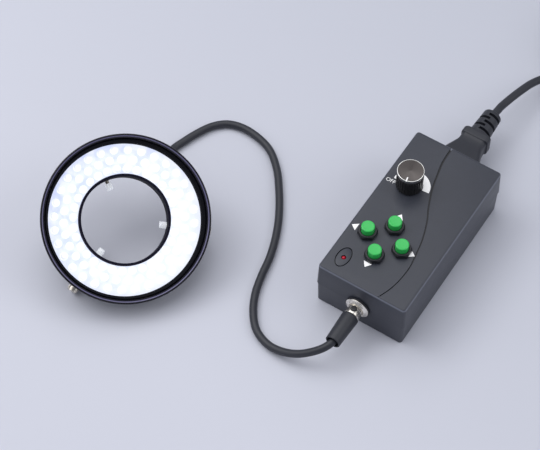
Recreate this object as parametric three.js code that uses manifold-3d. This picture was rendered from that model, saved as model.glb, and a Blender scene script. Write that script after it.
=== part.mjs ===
// Microscope ring light: a lamp head of white LEDs round a clear bore, the control box that feeds
// and dims it, the lead between them and the mains lead. Millimetres, +Z up.
// The origin is the centre of the control box's underside. +Y runs along the box to its mains
// inlet and +X to its right. The box and the lamp head both lie on the plane z = 0.
import * as THREE from 'three';
import { mergeVertices } from 'three/addons/utils/BufferGeometryUtils.js';
import Module from 'manifold-3d';

const wasm = await Module();
wasm.setup();

const ringLight = new THREE.Group();

// Fits shared by all pieces.
const seatGap = 0.3; // between two faces that rest on each other
const runGap = 0.07; // radial play round a turning shaft or a screw in its thread
const slideGap = 0.15; // radial play round a button or a latch
const threadGap = 0.17; // radial play of the thumbscrews in the neck
const weld = 1e-4; // points closer than this are one point
const overrun = 4; // how far a cutter passes the face that it opens
const joinDepth = 0.4; // how deep a joined solid reaches into its neighbour

// Facets.
const ringSides = 48;
const roundSides = 18;
const smallSides = 12;
const pinSides = 8;

// Lamp head: where it lies, and its turned body. Depths run back from the front rim.
const headX = -164.15;
const headY = -109.25;
const headAzimuth = THREE.MathUtils.degToRad(-41.2);
const boreRadius = 30.5;
const sleeveWall = 1.7;
const sleeveFrontDepth = 12.5;
const bodyRadius = 57.6;
const bodyWall = 1.7;
const bodyDepth = 21;
const plateThickness = 1.5;
const rearChamfer = 1.8;
const ledgeWidth = 1.7;
const ledgeHeight = 0.6;
const neckWall = 8.1;
const neckLength = 11;
const neckChamfer = 0.6;
const sleeveRadius = boreRadius + sleeveWall;
const neckRadius = boreRadius + neckWall;
const neckDepth = bodyDepth + neckLength;
const wallInner = bodyRadius - bodyWall;
const plateFrontDepth = bodyDepth - plateThickness;
const plateOpening = sleeveRadius + seatGap;

// Front rim and the tapered band that clamps the LED board.
const rimRadius = 59.1;
const rimWidth = 3;
const rimRound = 1.1;
const rimSeatDepth = 4.2;
const rimDepth = 6.5;
const rimRoundSteps = 2;
const bandFrontDepth = 1.6;
const bandLip = 0.5;
const bandInner = 53.4;

// LED board.
const ledRadius = 2.5;
const ledHeight = 8.4;
const ledTipDepth = 9;
const ledRows = 3;
const ledsPerRow = 32;
const ledSides = 7;
const innerRowRadius = 35.7;
const rowPitch = 6.75;
const firstLedAngle = THREE.MathUtils.degToRad(-4.75);
const boardThickness = 1.2;
const boardEdgeOverlap = 0.9;
const boardFrontDepth = ledTipDepth + ledHeight;
const boardRearDepth = boardFrontDepth + boardThickness;

// Screws that hold the collar on the rear plate.
const collarScrewAngles = [40, 160, 280].map(THREE.MathUtils.degToRad);
const collarScrewRadius = 1.25;
const collarHeadRadius = 2.1;
const collarHeadLength = 1.8;
const collarPocketDepth = 2.4;

// Thumbscrews through the neck, each with a loose nylon cap on its tip.
const thumbAngles = [100, -20, -140].map(THREE.MathUtils.degToRad);
const nearReach = 23.2; // ring axis to the inner face of a screw's cap
const farReach = 25.2;
const thumbReaches = [nearReach, farReach, farReach];
const thumbLength = 36.8;
const thumbShankRadius = 1.5;
const thumbHeadLength = 9;
const thumbHeadRadius = 3.7;
const thumbKnurlDepth = 0.35;
const thumbKnurls = 14;
const thumbShoulderRadius = 2.6;
const thumbShoulderLength = 1.4;
const capLength = 5;
const capRadius = 2.4;
const capFloor = 1.2;
const capEdge = 0.4;

// Rubber gland where the lead leaves the head.
const glandAngle = THREE.MathUtils.degToRad(40);
const glandPlace = 47;
const glandPlugRadius = 3.4;
const glandFlangeRadius = 5;
const glandFlangeThickness = 1.5;
const glandRootRadius = 4.3;
const glandTipRadius = 3.5;
const glandLength = 13.5;

// Control box. The walls lean out to the seam by the flares, from the top and from the underside.
const caseWidth = 68.6;
const caseLength = 135;
const caseHeight = 43.3;
const seamHeight = 21.3;
const seamFlare = 0.65;
const baseSeamFlare = 0.25;
const baseFlare = -0.15;
const caseWall = 2.3;
const caseCorner = 2.4;
const caseEdge = 1;
const cornerSteps = 2;
const edgeSteps = 2;
const halfWidth = caseWidth / 2;
const halfLength = caseLength / 2;
const panelUnder = caseHeight - caseWall;
const cavityCorner = caseCorner - caseEdge;

// Screws that close the box from below.
const caseScrewInset = 6.4;
const caseScrewEndInset = 8.4;
const caseScrewRadius = 1.4;
const caseScrewHeadRadius = 2.7;
const caseScrewHeadLength = 2;
const caseScrewRecess = 3.2;
const caseScrewLength = 26;
const bossRadius = 4;

// Sunk line over the panel: points as shares of the half width and half length, and its width,
// which grows to the back.
const lineShares = [
  [0.345, -1.04], [0.388, -0.983], [0.476, -0.864], [0.526, -0.757], [0.554, -0.631],
  [0.557, -0.511], [0.525, -0.392], [0.489, -0.284], [0.444, -0.167], [0.306, 0.047],
  [0.161, 0.206], [0, 0.419], [-0.093, 0.618], [-0.158, 0.788], [-0.178, 1.04],
];
const lineSteps = 16;
const lineFrontWidth = 0.5;
const lineBackWidth = 1.5;
const lineDepth = 0.4;

// Oval inset with the red lamp.
const insetSide = 11.2; // wall to its middle
const insetFront = 15.2;
const insetX = insetSide - halfWidth;
const insetY = insetFront - halfLength;
const insetWidth = 9.4;
const insetLength = 16.2;
const insetThickness = 1.1;
const insetSides = 24;
const lampSide = 11.4;
const lampFront = 15;
const lampX = lampSide - halfWidth;
const lampY = lampFront - halfLength;
const lampRadius = 1.5;
const lampLength = 5.4;

// Four push buttons in a diamond.
const buttonSide = 28.4; // wall to the middle of the diamond
const buttonFront = 40.9;
const buttonX = buttonSide - halfWidth;
const buttonY = buttonFront - halfLength;
const buttonArm = 13.6;
const buttonCapRadius = 4.75;
const buttonCapHeight = 8.7;
const buttonCapEdge = 0.5;
const buttonTravel = 2.5;
const buttonCapStem = 3.4;
const bushingRadius = 6;
const bezelRadius = 7.45;
const bezelHeight = 2.6;
const bezelEdge = 0.8;
const bezelMouth = 5.1;
const bezelMouthDepth = 0.4;
const switchRadius = 6.9;
const switchDepth = 15;

// Dimmer: knob, metal cap, shaft, potentiometer and its nut.
const knobSide = 18.8; // wall to the shaft
const knobBack = 44.3;
const knobX = knobSide - halfWidth;
const knobY = halfLength - knobBack;
const knobRadius = 9.6;
const knobFluteDepth = 0.25;
const knobFlutes = 20;
const knobLift = 0.7;
const knobHeight = 18;
const knobCapThickness = 2.3;
const knobRingLength = 1.2;
const knobSkirtWall = 1.6;
const knobSkirtDepth = 4.6;
const pointerLength = 3.7;
const pointerWidth = 1;
const pointerDepth = 0.6;
const pointerAngle = THREE.MathUtils.degToRad(-80);
const shaftRadius = 3;
const potRadius = 8;
const potDepth = 9;
const potBushingRadius = 4;
const potBushingHeight = 3.6;
const potNutFlats = 10;
const potNutHeight = 2;
const potShaftFloor = 2;

// Lead socket in the front wall, its gasket and nut, and the plug in it.
const socketX = -0.6;
const socketZ = 20.5;
const socketBarrelRadius = 7;
const socketBarrelLength = 12;
const socketFlangeRadius = 8.9;
const socketLipRadius = 6.7;
const socketFlangeThickness = 0.8;
const socketDomeLength = 1.6;
const gasketRadius = 9.3;
const gasketThickness = 0.6;
const socketNutFlats = 18;
const socketNutThickness = 2.5;
const plugRadius = 5.65;
const plugReach = 8; // how far the plug's shell goes into the wall
const plugShow = 10.1; // shell from the wall to the boot
const plugTailRadius = 4.4;
const plugTailLength = 8;
const latchRadius = 2.2;
const latchBack = 6.3; // wall to the latch's axis
const latchStand = 0.75;
const latchLength = 3;
const latchTravel = 0.8;
const bootFrontRadius = 6.3;
const bootRearRadius = 5.45;
const bootLength = 23.3;
const bootEdge = 0.4;
const bootMouthDepth = 6;
const bootMouthRadius = 4.6;
const bootThroat = 3.3;

// Lead from the head to the plug. Its middle points are its route as it lies.
const leadRadius = 2.85;
const leadSides = 8;
const leadSteps = 44;
const leadRoute = [
  [-179.35, -46.75, 23.1], [-185.65, -37.35, 13.4], [-189.6, -26.85, 5.9], [-189.6, -16, 2.95],
  [-187, -7.5, 2.9], [-184, 1.3, 2.9], [-177.5, 14.5, 2.9], [-169.1, 22.6, 2.9],
  [-157.6, 25.9, 2.9], [-142.7, 24.6, 2.9], [-129.4, 19.6, 2.9], [-116, 8.2, 2.9],
  [-104.8, -6.2, 2.9], [-94.9, -21.4, 2.9], [-86.6, -37.4, 2.9], [-79.4, -57.2, 2.9],
  [-75.5, -75, 2.9], [-71.4, -89, 2.9], [-64.4, -102.5, 2.9], [-54.6, -113.4, 2.9],
  [-42.1, -118.8, 3.05], [-29.8, -119.5, 5.7], [-18.3, -117.2, 10.2], [-8.8, -112.2, 15.4],
  [-3.4, -107.2, 18.7], [-1, -102.4, 20.2],
];

// Things inside the box.
const boardMargin = 3;
const boardFrontInset = 21.5;
const boardBackInset = 27.5;
const boardWidth = caseWidth - 2 * (caseWall + boardMargin);
const boardBack = halfLength - boardBackInset;
const boardLength = caseLength - boardFrontInset - boardBackInset;
const circuitThickness = 1.6;
const circuitHeight = 8;
const postRadius = 3;
const postInset = 5;
const transformerSide = 21; // board's edge to its middle
const transformerBack = 26;
const transformerX = boardWidth / 2 - transformerSide;
const transformerY = boardBack - transformerBack;
const transformerWidth = 28;
const transformerLength = 30;
const transformerHeight = 15;
const coreWidth = 34;
const coreLength = 12;
const coreHeight = 11;
const capacitorSide = 9;
const capacitorFront = 16;
const capacitorX = boardWidth / 2 - capacitorSide;
const capacitorY = boardBack - boardLength + capacitorFront;
const capacitorRadius = 5.5;
const capacitorHeight = 12;

// Mains inlet and the connector in it. Heights and widths are of the face that meets the other.
const inletX = -1.7;
const inletZ = 20.5;
const noseWidth = 23.4;
const noseHeight = 15.4;
const noseCorner = 3.4;
const noseLength = 15;
const inletWall = 1.5;
const inletFloor = 3;
const pinSpread = 7;
const pinOffset = 2;
const pinWidth = 4;
const pinThickness = 2;
const pinLength = 12;
const pinTail = 3;
const shoulderWidth = 29.5;
const shoulderHeight = 20;
const shoulderLength = 7;
const neckAt = 21;
const neckWidth = 20;
const neckHeight = 15.6;
const waistWidth = 19.6;
const waistHeight = 15.4;
const waistAt = 26.1;
const gripWidth = 22;
const gripHeight = 17;
const gripLength = 6.1;
const gripRound = 1.4;
const outlineCorner = 3.4;
const reliefLength = 23;
const reliefRootRadius = 8.1;
const reliefTipRadius = 7;
const reliefRound = 1.2;
const reliefCore = 4.1;
const reliefSlotWidth = 1.8;
const reliefSlotPitch = 3.78;
const reliefSlotStart = 2.2;
const reliefSlotCount = 5;
const reliefSlotHalfAngle = THREE.MathUtils.degToRad(100);

// Mains lead: its shown stretch, then a coil of the rest and a tail to the plug.
const mainsRadius = 3;
const mainsSides = 8;
const mainsSteps = 14;
const mainsRoute = [
  [-1.2, 130.7, 20], [-1.1, 134.6, 19.3], [-0.5, 139.5, 18.5], [1.3, 149, 17.5],
  [3.6, 159.7, 16], [6.2, 170.2, 14], [9.7, 179.3, 11.8], [14.8, 188.9, 8.6], [21.4, 197.5, 5.4],
  [28.6, 203.2, 3.5],
];
const coilX = 48;
const coilY = 243.2;
const coilRadius = 37.9; // of the middle of its first and last turns
const coilTurnsIn = 1.625; // turns of a layer, without the half turns between layers
const coilLayers = 4;
const coilSteps = 16;
const coilSides = 6;
const turnGap = 0.6;
const coilLead = 6; // straight ends
const tailSides = 8;
const tailSteps = 9;
const tailRoute = [
  [9.4, 0, -0.1], [19.1, 2, -1.4], [28.3, 7, -4], [35, 14.2, -7], [39.5, 23.1, -9.8],
  [41.5, 32.9, -11.8],
];

// Mains plug at the tail's end: body, relief, blades and earth pin.
const plugX = 95.5;
const plugY = 248;
const plugAxisHeight = 10.6;
const plugBodyWidth = 25;
const plugBodyHeight = 21.2;
const plugBodyLength = 27;
const plugBodyRound = 3;
const plugReliefLength = 20;
const plugReliefRoot = 6;
const plugReliefTip = 4.3;
const bladeWidth = 6.35;
const bladeThickness = 1.5;
const bladeLength = 17;
const bladeSpread = 6.35;
const bladeRise = 3.9;
const earthRadius = 2.4;
const earthLength = 20;
const earthDrop = 7.9;
const bladeSeat = 4;

function paint(color, roughness, metalness) {
  return () => new THREE.MeshStandardMaterial({ color, roughness, metalness });
}

const anodised = paint(0x24242a, 0.42, 0.55);
const blackPlastic = paint(0x2c2d33, 0.6, 0);
const casePlastic = paint(0x4b4e58, 0.62, 0);
const rubber = paint(0x2b2d31, 0.72, 0);
const chrome = paint(0xd9d6d0, 0.14, 1);
const nickel = paint(0xc9b99a, 0.32, 1);
const nylon = paint(0xe6e8ec, 0.5, 0);
const steel = paint(0xb8babd, 0.35, 1);
const ledWhite = paint(0xf4f7ff, 0.3, 0);
const buttonGreen = paint(0x3cc86e, 0.38, 0);
const lampRed = paint(0xa3122b, 0.25, 0);
const bronze = paint(0x5b534c, 0.3, 0.9);
const circuitGreen = paint(0x1e5a38, 0.55, 0);
const tapeYellow = paint(0xd2b13a, 0.6, 0);
const sleeveBlue = paint(0x22304f, 0.5, 0);

function manifoldOf(geometry) {
  const bare = geometry.index ? geometry.toNonIndexed() : geometry.clone();
  bare.deleteAttribute('normal');
  bare.deleteAttribute('uv');
  const merged = mergeVertices(bare, weld);
  const points = merged.attributes.position.array;
  const corners = merged.index.array;
  const kept = [];
  let volume = 0;
  const a = new THREE.Vector3();
  const b = new THREE.Vector3();
  const c = new THREE.Vector3();
  for (let i = 0; i < corners.length; i += 3) {
    const [p, q, r] = [corners[i], corners[i + 1], corners[i + 2]];
    if (p === q || q === r || r === p) continue;
    kept.push([p, q, r]);
    a.fromArray(points, p * 3);
    b.fromArray(points, q * 3);
    c.fromArray(points, r * 3);
    volume += a.dot(b.cross(c));
  }
  const outward = volume > 0 ? kept : kept.map(([p, q, r]) => [p, r, q]);
  return new wasm.Manifold(new wasm.Mesh({
    numProp: 3,
    vertProperties: new Float32Array(points),
    triVerts: new Uint32Array(outward.flat()),
  }));
}

function geometryOf(solid) {
  const mesh = solid.getMesh();
  const geometry = new THREE.BufferGeometry();
  geometry.setAttribute('position', new THREE.BufferAttribute(mesh.vertProperties, 3));
  geometry.setIndex(new THREE.BufferAttribute(mesh.triVerts, 1));
  const faceted = geometry.toNonIndexed();
  faceted.computeVertexNormals();
  return faceted;
}

function solidOf(shape) {
  return shape.isBufferGeometry ? manifoldOf(shape) : shape;
}

function join(first, ...others) {
  return others.reduce((whole, one) => whole.add(solidOf(one)), solidOf(first));
}

function cut(first, ...others) {
  return others.reduce((whole, one) => whole.subtract(solidOf(one)), solidOf(first));
}

function add(group, name, material, shape) {
  const mesh = new THREE.Mesh(geometryOf(solidOf(shape)), material());
  mesh.name = name;
  group.add(mesh);
  return mesh;
}

// A profile of [radius, z] points turned about Z. It is closed on itself unless it ends on the axis.
function revolve(profile, sides) {
  const points = profile.map(([radius, z]) => new THREE.Vector2(radius, z));
  if (profile[0][0] > 0) points.push(points[0].clone());
  return new THREE.LatheGeometry(points, sides).rotateX(Math.PI / 2);
}

function rod(radius, from, to, sides) {
  return new THREE.CylinderGeometry(radius, radius, to - from, sides)
    .rotateX(Math.PI / 2)
    .translate(0, 0, (from + to) / 2);
}

function slab(x0, x1, y0, y1, z0, z1) {
  return new THREE.BoxGeometry(x1 - x0, y1 - y0, z1 - z0)
    .translate((x0 + x1) / 2, (y0 + y1) / 2, (z0 + z1) / 2);
}

function prism(shape, from, to) {
  return new THREE.ExtrudeGeometry(shape, {
    depth: to - from, bevelEnabled: false, curveSegments: cornerSteps,
  }).translate(0, 0, from);
}

// Turns a solid built along +Z so that it runs along +Y.
function alongY(geometry) {
  return geometry.rotateX(-Math.PI / 2);
}

function outlineOf(points) {
  return new THREE.Shape(points.map(([x, y]) => new THREE.Vector2(x, y)));
}

function ringOf(count, radiusAt) {
  return Array.from({ length: count }, (_, i) => {
    const angle = (i / count) * 2 * Math.PI;
    return [radiusAt(i) * Math.cos(angle), radiusAt(i) * Math.sin(angle)];
  });
}

function fluted(radius, depth, count) {
  return outlineOf(ringOf(2 * count, (i) => radius - (i % 2) * depth));
}

function roundedRectangle(width, length, corner) {
  const [w, l] = [width / 2, length / 2];
  const shape = new THREE.Shape();
  shape.moveTo(-w + corner, -l);
  shape.lineTo(w - corner, -l);
  shape.absarc(w - corner, -l + corner, corner, -Math.PI / 2, 0);
  shape.lineTo(w, l - corner);
  shape.absarc(w - corner, l - corner, corner, 0, Math.PI / 2);
  shape.lineTo(-w + corner, l);
  shape.absarc(-w + corner, l - corner, corner, Math.PI / 2, Math.PI);
  shape.lineTo(-w, -l + corner);
  shape.absarc(-w + corner, -l + corner, corner, Math.PI, 1.5 * Math.PI);
  return shape;
}

// Closed skin through rings of equally many points.
function skin(rings) {
  const count = rings[0].length;
  const positions = rings.flat().flatMap((p) => [p.x, p.y, p.z]);
  const faces = [];
  for (let k = 0; k + 1 < rings.length; k += 1) {
    for (let i = 0; i < count; i += 1) {
      const j = (i + 1) % count;
      const [p, q, r, s] = [k * count + i, k * count + j, (k + 1) * count + j, (k + 1) * count + i];
      faces.push(p, q, r, p, r, s);
    }
  }
  const last = (rings.length - 1) * count;
  for (let i = 1; i + 1 < count; i += 1) {
    faces.push(0, i + 1, i, last, last + i, last + i + 1);
  }
  const geometry = new THREE.BufferGeometry();
  geometry.setAttribute('position', new THREE.Float32BufferAttribute(positions, 3));
  geometry.setIndex(faces);
  return geometry;
}

// Rounded-rectangle sections of [y, width, height] along +Y, with corners of one radius.
function loft(sections, corner, steps) {
  return skin(sections.map(([y, width, height]) => {
    const [w, h] = [width / 2 - corner, height / 2 - corner];
    const ring = [];
    [[1, 1], [-1, 1], [-1, -1], [1, -1]].forEach(([sx, sz], quarter) => {
      for (let i = 0; i <= steps; i += 1) {
        const angle = (quarter + i / steps) * (Math.PI / 2);
        const x = sx * w + corner * Math.cos(angle);
        ring.push(new THREE.Vector3(x, y, sz * h + corner * Math.sin(angle)));
      }
    });
    return ring;
  }));
}

function hexagon(flats) {
  return outlineOf(ringOf(6, () => flats / Math.sqrt(3)));
}

function cord(points, radius, sides, steps) {
  const path = new THREE.CatmullRomCurve3(points.map((p) => new THREE.Vector3(...p)), false, 'centripetal');
  const tube = new THREE.ExtrudeGeometry(outlineOf(ringOf(sides, () => radius)), {
    steps, bevelEnabled: false, extrudePath: path,
  });
  return { tube, length: path.getLength() };
}

// Lamp head: local Z is the ring's axis, out of its front. It leans back on its rear edge and on
// the edge of its neck.
const head = new THREE.Group();
const rearEdge = bodyRadius - rearChamfer;
const neckEdge = neckRadius - neckChamfer;
const headTilt = Math.atan2(neckLength, rearEdge - neckEdge);
const headHeight = bodyDepth * Math.cos(headTilt) + rearEdge * Math.sin(headTilt);
head.rotation.set(headTilt, 0, headAzimuth + Math.PI / 2, 'ZYX');
head.position.set(headX, headY, headHeight);
ringLight.add(head);

function atAngle(angle, radius) {
  return [radius * Math.cos(angle), radius * Math.sin(angle)];
}

function arc(centreRadius, centreZ, radius, from, to, steps) {
  return Array.from({ length: steps + 1 }, (_, i) => {
    const angle = from + ((to - from) * i) / steps;
    return [centreRadius + radius * Math.cos(angle), centreZ + radius * Math.sin(angle)];
  });
}

const rimInner = rimRadius - rimWidth;
add(head, 'bezel_ring', anodised, revolve([
  ...arc(rimInner + rimRound, -rimRound, rimRound, Math.PI, Math.PI / 2, rimRoundSteps),
  ...arc(rimRadius - rimRound, -rimRound, rimRound, Math.PI / 2, 0, rimRoundSteps),
  [rimRadius, -rimDepth],
  [bodyRadius + seatGap, -rimDepth],
  [bodyRadius + seatGap, -rimSeatDepth],
  [rimInner, -rimSeatDepth],
], ringSides));

const housingFront = rimSeatDepth + seatGap;
const ledgeDepth = plateFrontDepth - ledgeHeight;
const housing = revolve([
  [bodyRadius, -housingFront],
  [bodyRadius, -(bodyDepth - rearChamfer)],
  [rearEdge, -bodyDepth],
  [plateOpening, -bodyDepth],
  [plateOpening, -plateFrontDepth],
  [wallInner - ledgeWidth, -plateFrontDepth],
  [wallInner - ledgeWidth, -ledgeDepth],
  [wallInner, -ledgeDepth],
  [wallInner, -housingFront],
], ringSides);
const screwCircle = (boreRadius + neckRadius) / 2;
const collarHoles = collarScrewAngles.map((angle) => rod(
  collarScrewRadius + runGap, -neckDepth - overrun, -plateFrontDepth + overrun, smallSides,
).translate(...atAngle(angle, screwCircle), 0));
const glandHole = rod(
  glandPlugRadius + seatGap, -bodyDepth - overrun, -plateFrontDepth + overrun, smallSides,
).translate(...atAngle(glandAngle, glandPlace), 0);
add(head, 'ring_housing', anodised, cut(housing, ...collarHoles, glandHole));

const bandOuter = wallInner - seatGap;
const bandRearDepth = boardFrontDepth - seatGap;
add(head, 'retaining_ring', blackPlastic, revolve([
  [bandOuter - bandLip, -bandFrontDepth],
  [bandOuter, -bandFrontDepth],
  [bandOuter, -bandRearDepth],
  [bandInner, -bandRearDepth],
  [bandInner, -ledTipDepth],
], ringSides));

const boardOuter = wallInner - ledgeWidth + boardEdgeOverlap;
const board = revolve([
  [sleeveRadius + seatGap, -boardFrontDepth],
  [boardOuter, -boardFrontDepth],
  [boardOuter, -boardRearDepth],
  [sleeveRadius + seatGap, -boardRearDepth],
], ringSides);
const domeShoulder = -ledTipDepth - ledRadius;
const ledProfile = [
  [0, -ledTipDepth],
  [ledRadius * Math.SQRT1_2, domeShoulder + ledRadius * Math.SQRT1_2],
  [ledRadius, domeShoulder],
  [ledRadius, -boardFrontDepth - joinDepth],
  [0, -boardFrontDepth - joinDepth],
];
const leds = [];
for (let row = 0; row < ledRows; row += 1) {
  for (let i = 0; i < ledsPerRow; i += 1) {
    const angle = firstLedAngle + ((i + (row % 2) / 2) / ledsPerRow) * 2 * Math.PI;
    const place = atAngle(angle, innerRowRadius + row * rowPitch);
    leds.push(revolve(ledProfile, ledSides).translate(...place, 0));
  }
}
add(head, 'led_board', ledWhite, join(board, ...leds));

const neckFront = bodyDepth + seatGap;
const collar = revolve([
  [boreRadius, -sleeveFrontDepth],
  [sleeveRadius, -sleeveFrontDepth],
  [sleeveRadius, -neckFront],
  [neckRadius, -neckFront],
  [neckRadius, -(neckDepth - neckChamfer)],
  [neckEdge, -neckDepth],
  [boreRadius, -neckDepth],
], ringSides);
const collarPockets = collarScrewAngles.map((angle) => rod(
  collarHeadRadius + seatGap, -neckDepth - overrun, -(neckDepth - collarPocketDepth), smallSides,
).translate(...atAngle(angle, screwCircle), 0));
const thumbDepth = bodyDepth + neckLength / 2;
const thumbHoles = thumbAngles.map((angle) => rod(
  thumbShankRadius + threadGap, boreRadius - overrun, neckRadius + overrun, smallSides,
).rotateY(Math.PI / 2).rotateZ(angle).translate(0, 0, -thumbDepth));
add(head, 'mount_collar', anodised, cut(collar, ...collarHoles, ...collarPockets, ...thumbHoles));

collarScrewAngles.forEach((angle, i) => {
  const headRear = -(neckDepth - collarPocketDepth + seatGap + collarHeadLength);
  const headFront = headRear + collarHeadLength;
  const tip = -plateFrontDepth - seatGap;
  const screw = join(
    rod(collarHeadRadius, headRear, headFront, pinSides),
    rod(collarScrewRadius, headFront - joinDepth, tip, pinSides),
  );
  const mesh = add(head, `collar_screw_${i + 1}`, steel, screw);
  mesh.position.set(...atAngle(angle, screwCircle), 0);
});

thumbAngles.forEach((angle, i) => {
  const place = new THREE.Group();
  place.rotation.set(0, Math.PI / 2, angle, 'ZYX');
  place.position.set(0, 0, -thumbDepth);
  head.add(place);
  const reach = thumbReaches[i];
  const headEnd = reach + thumbLength;
  const headStart = headEnd - thumbHeadLength;
  const shankStart = reach + capFloor + seatGap;
  add(place, `thumbscrew_${i + 1}`, nickel, join(
    rod(thumbShankRadius, shankStart, headStart + joinDepth, pinSides),
    rod(thumbShoulderRadius, headStart, headStart + thumbShoulderLength + joinDepth, smallSides),
    prism(fluted(thumbHeadRadius, thumbKnurlDepth, thumbKnurls), headStart + thumbShoulderLength, headEnd),
  ));
  add(place, `thumbscrew_tip_${i + 1}`, nylon, revolve([
    [0, reach],
    [capRadius - capEdge, reach],
    [capRadius, reach + capEdge],
    [capRadius, reach + capLength],
    [thumbShankRadius + runGap, reach + capLength],
    [thumbShankRadius + runGap, reach + capFloor],
    [0, reach + capFloor],
  ], smallSides));
});

const glandTop = -bodyDepth - seatGap;
const glandEnd = glandTop - glandFlangeThickness - glandLength;
const gland = add(head, 'lead_gland', rubber, revolve([
  [0, -plateFrontDepth],
  [glandPlugRadius, -plateFrontDepth],
  [glandPlugRadius, glandTop],
  [glandFlangeRadius, glandTop],
  [glandFlangeRadius, glandTop - glandFlangeThickness],
  [glandRootRadius, glandTop - glandFlangeThickness],
  [glandTipRadius, glandEnd],
  [0, glandEnd],
], smallSides));
gland.position.set(...atAngle(glandAngle, glandPlace), 0);

// Control box shells.
function leaning(geometry, flareAt) {
  const points = geometry.attributes.position;
  for (let i = 0; i < points.count; i += 1) {
    const flare = flareAt(points.getZ(i));
    points.setX(i, points.getX(i) * (1 + flare / halfWidth));
    points.setY(i, points.getY(i) * (1 + flare / halfLength));
  }
  return geometry;
}

const topFlare = (z) => (seamFlare * (caseHeight - z)) / (caseHeight - seamHeight);
const bottomFlare = (z) => baseFlare + ((baseSeamFlare - baseFlare) * z) / seamHeight;
const bottomTop = seamHeight - seatGap;
const endWall = halfLength + topFlare(inletZ);
const screwPlaces = [[-1, -1], [1, -1], [-1, 1], [1, 1]].map(([sx, sy]) => [
  sx * (halfWidth - caseScrewInset), sy * (halfLength - caseScrewEndInset),
]);

const topOuter = leaning(new THREE.ExtrudeGeometry(roundedRectangle(caseWidth, caseLength, caseCorner), {
  depth: caseHeight - seamHeight + overrun, bevelThickness: caseEdge, bevelSize: caseEdge,
  bevelOffset: -caseEdge, bevelSegments: edgeSteps, curveSegments: cornerSteps,
}).translate(0, 0, seamHeight - overrun - caseEdge), topFlare);
const belowSeam = slab(
  -caseWidth, caseWidth, -caseLength, caseLength, seamHeight - overrun * 2, seamHeight,
);
const cavity = roundedRectangle(caseWidth - 2 * caseWall, caseLength - 2 * caseWall, cavityCorner);

const lineCurve = new THREE.CatmullRomCurve3(
  lineShares.map(([x, y]) => new THREE.Vector3(x * halfWidth, y * halfLength, 0)), false, 'centripetal',
);
const lineLeft = [];
const lineRight = [];
for (let i = 0; i <= lineSteps; i += 1) {
  const share = i / lineSteps;
  const p = lineCurve.getPointAt(share);
  const t = lineCurve.getTangentAt(share);
  const half = (lineFrontWidth + (lineBackWidth - lineFrontWidth) * share ** 2) / 2;
  lineLeft.push([p.x - t.y * half, p.y + t.x * half]);
  lineRight.unshift([p.x + t.y * half, p.y - t.x * half]);
}
const linePrism = prism(
  outlineOf([...lineLeft, ...lineRight]), caseHeight - lineDepth, caseHeight + overrun,
);

const buttonPlaces = [[-1, 0], [0, 1], [1, 0], [0, -1]].map(([sx, sy]) => [
  buttonX + sx * buttonArm, buttonY + sy * buttonArm,
]);
const panelHole = (radius, x, y) => rod(
  radius + seatGap, panelUnder - overrun, caseHeight + overrun, smallSides,
).translate(x, y, 0);
const oval = (grow) => outlineOf(ringOf(insetSides, () => 1).map(([x, y]) => [
  x * (insetWidth / 2 + grow), y * (insetLength / 2 + grow),
]));
const insetFloor = caseHeight - insetThickness - seatGap;
const ovalRecess = prism(oval(seatGap), insetFloor, caseHeight + overrun).translate(insetX, insetY, 0);
const socketHole = alongY(rod(
  socketBarrelRadius + seatGap, -halfLength - overrun, -halfLength + overrun, roundSides,
)).translate(socketX, 0, socketZ);

function chamfered(width, height, corner) {
  const [w, h] = [width / 2, height / 2];
  return outlineOf([[-w, h], [-w, -h + corner], [-w + corner, -h], [w - corner, -h], [w, -h + corner], [w, h]]
    .reverse());
}
const inletWidth = noseWidth + 2 * seatGap + 2 * inletWall;
const inletHeight = noseHeight + 2 * seatGap + 2 * inletWall;
const inletCut = alongY(prism(
  chamfered(inletWidth + 2 * seatGap, inletHeight + 2 * seatGap, noseCorner),
  halfLength - overrun, halfLength + overrun,
)).translate(inletX, 0, inletZ);

const screwTop = caseScrewRecess + caseScrewLength;
const topShell = cut(topOuter, belowSeam, prism(cavity, seamHeight - overrun, panelUnder));
const topBosses = screwPlaces.map(([x, y]) => rod(
  bossRadius, seamHeight, panelUnder + joinDepth, smallSides,
).translate(x, y, 0));
const pilotHoles = screwPlaces.map(([x, y]) => rod(
  caseScrewRadius + runGap, seamHeight - overrun, screwTop + seatGap, smallSides,
).translate(x, y, 0));
add(ringLight, 'case_top', casePlastic, cut(
  join(topShell, ...topBosses),
  ...pilotHoles,
  ...buttonPlaces.map(([x, y]) => panelHole(bushingRadius, x, y)),
  panelHole(potBushingRadius, knobX, knobY),
  panelHole(lampRadius, lampX, lampY),
  ovalRecess,
  linePrism,
  socketHole,
  inletCut,
));

const bottomOuter = leaning(
  prism(roundedRectangle(caseWidth, caseLength, caseCorner), 0, bottomTop), bottomFlare,
);
const postPlaces = [[-1, 0], [1, 0], [-1, 1], [1, 1]].map(([sx, end]) => [
  sx * (boardWidth / 2 - postInset),
  boardBack - postInset - end * (boardLength - 2 * postInset),
]);
const bottomBosses = screwPlaces.map(([x, y]) => rod(
  bossRadius, caseWall - joinDepth, bottomTop, smallSides,
).translate(x, y, 0));
const posts = postPlaces.map(([x, y]) => rod(
  postRadius, caseWall - joinDepth, circuitHeight - seatGap, pinSides,
).translate(x, y, 0));
const throughHoles = screwPlaces.map(([x, y]) => rod(
  caseScrewRadius + seatGap, -overrun, seamHeight + overrun, smallSides,
).translate(x, y, 0));
const headRecesses = screwPlaces.map(([x, y]) => rod(
  caseScrewHeadRadius + seatGap, -overrun, caseScrewRecess, smallSides,
).translate(x, y, 0));
add(ringLight, 'case_bottom', casePlastic, cut(
  join(cut(bottomOuter, prism(cavity, caseWall, seamHeight + overrun)), ...bottomBosses, ...posts),
  ...throughHoles,
  ...headRecesses,
  socketHole,
  inletCut,
));

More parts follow.
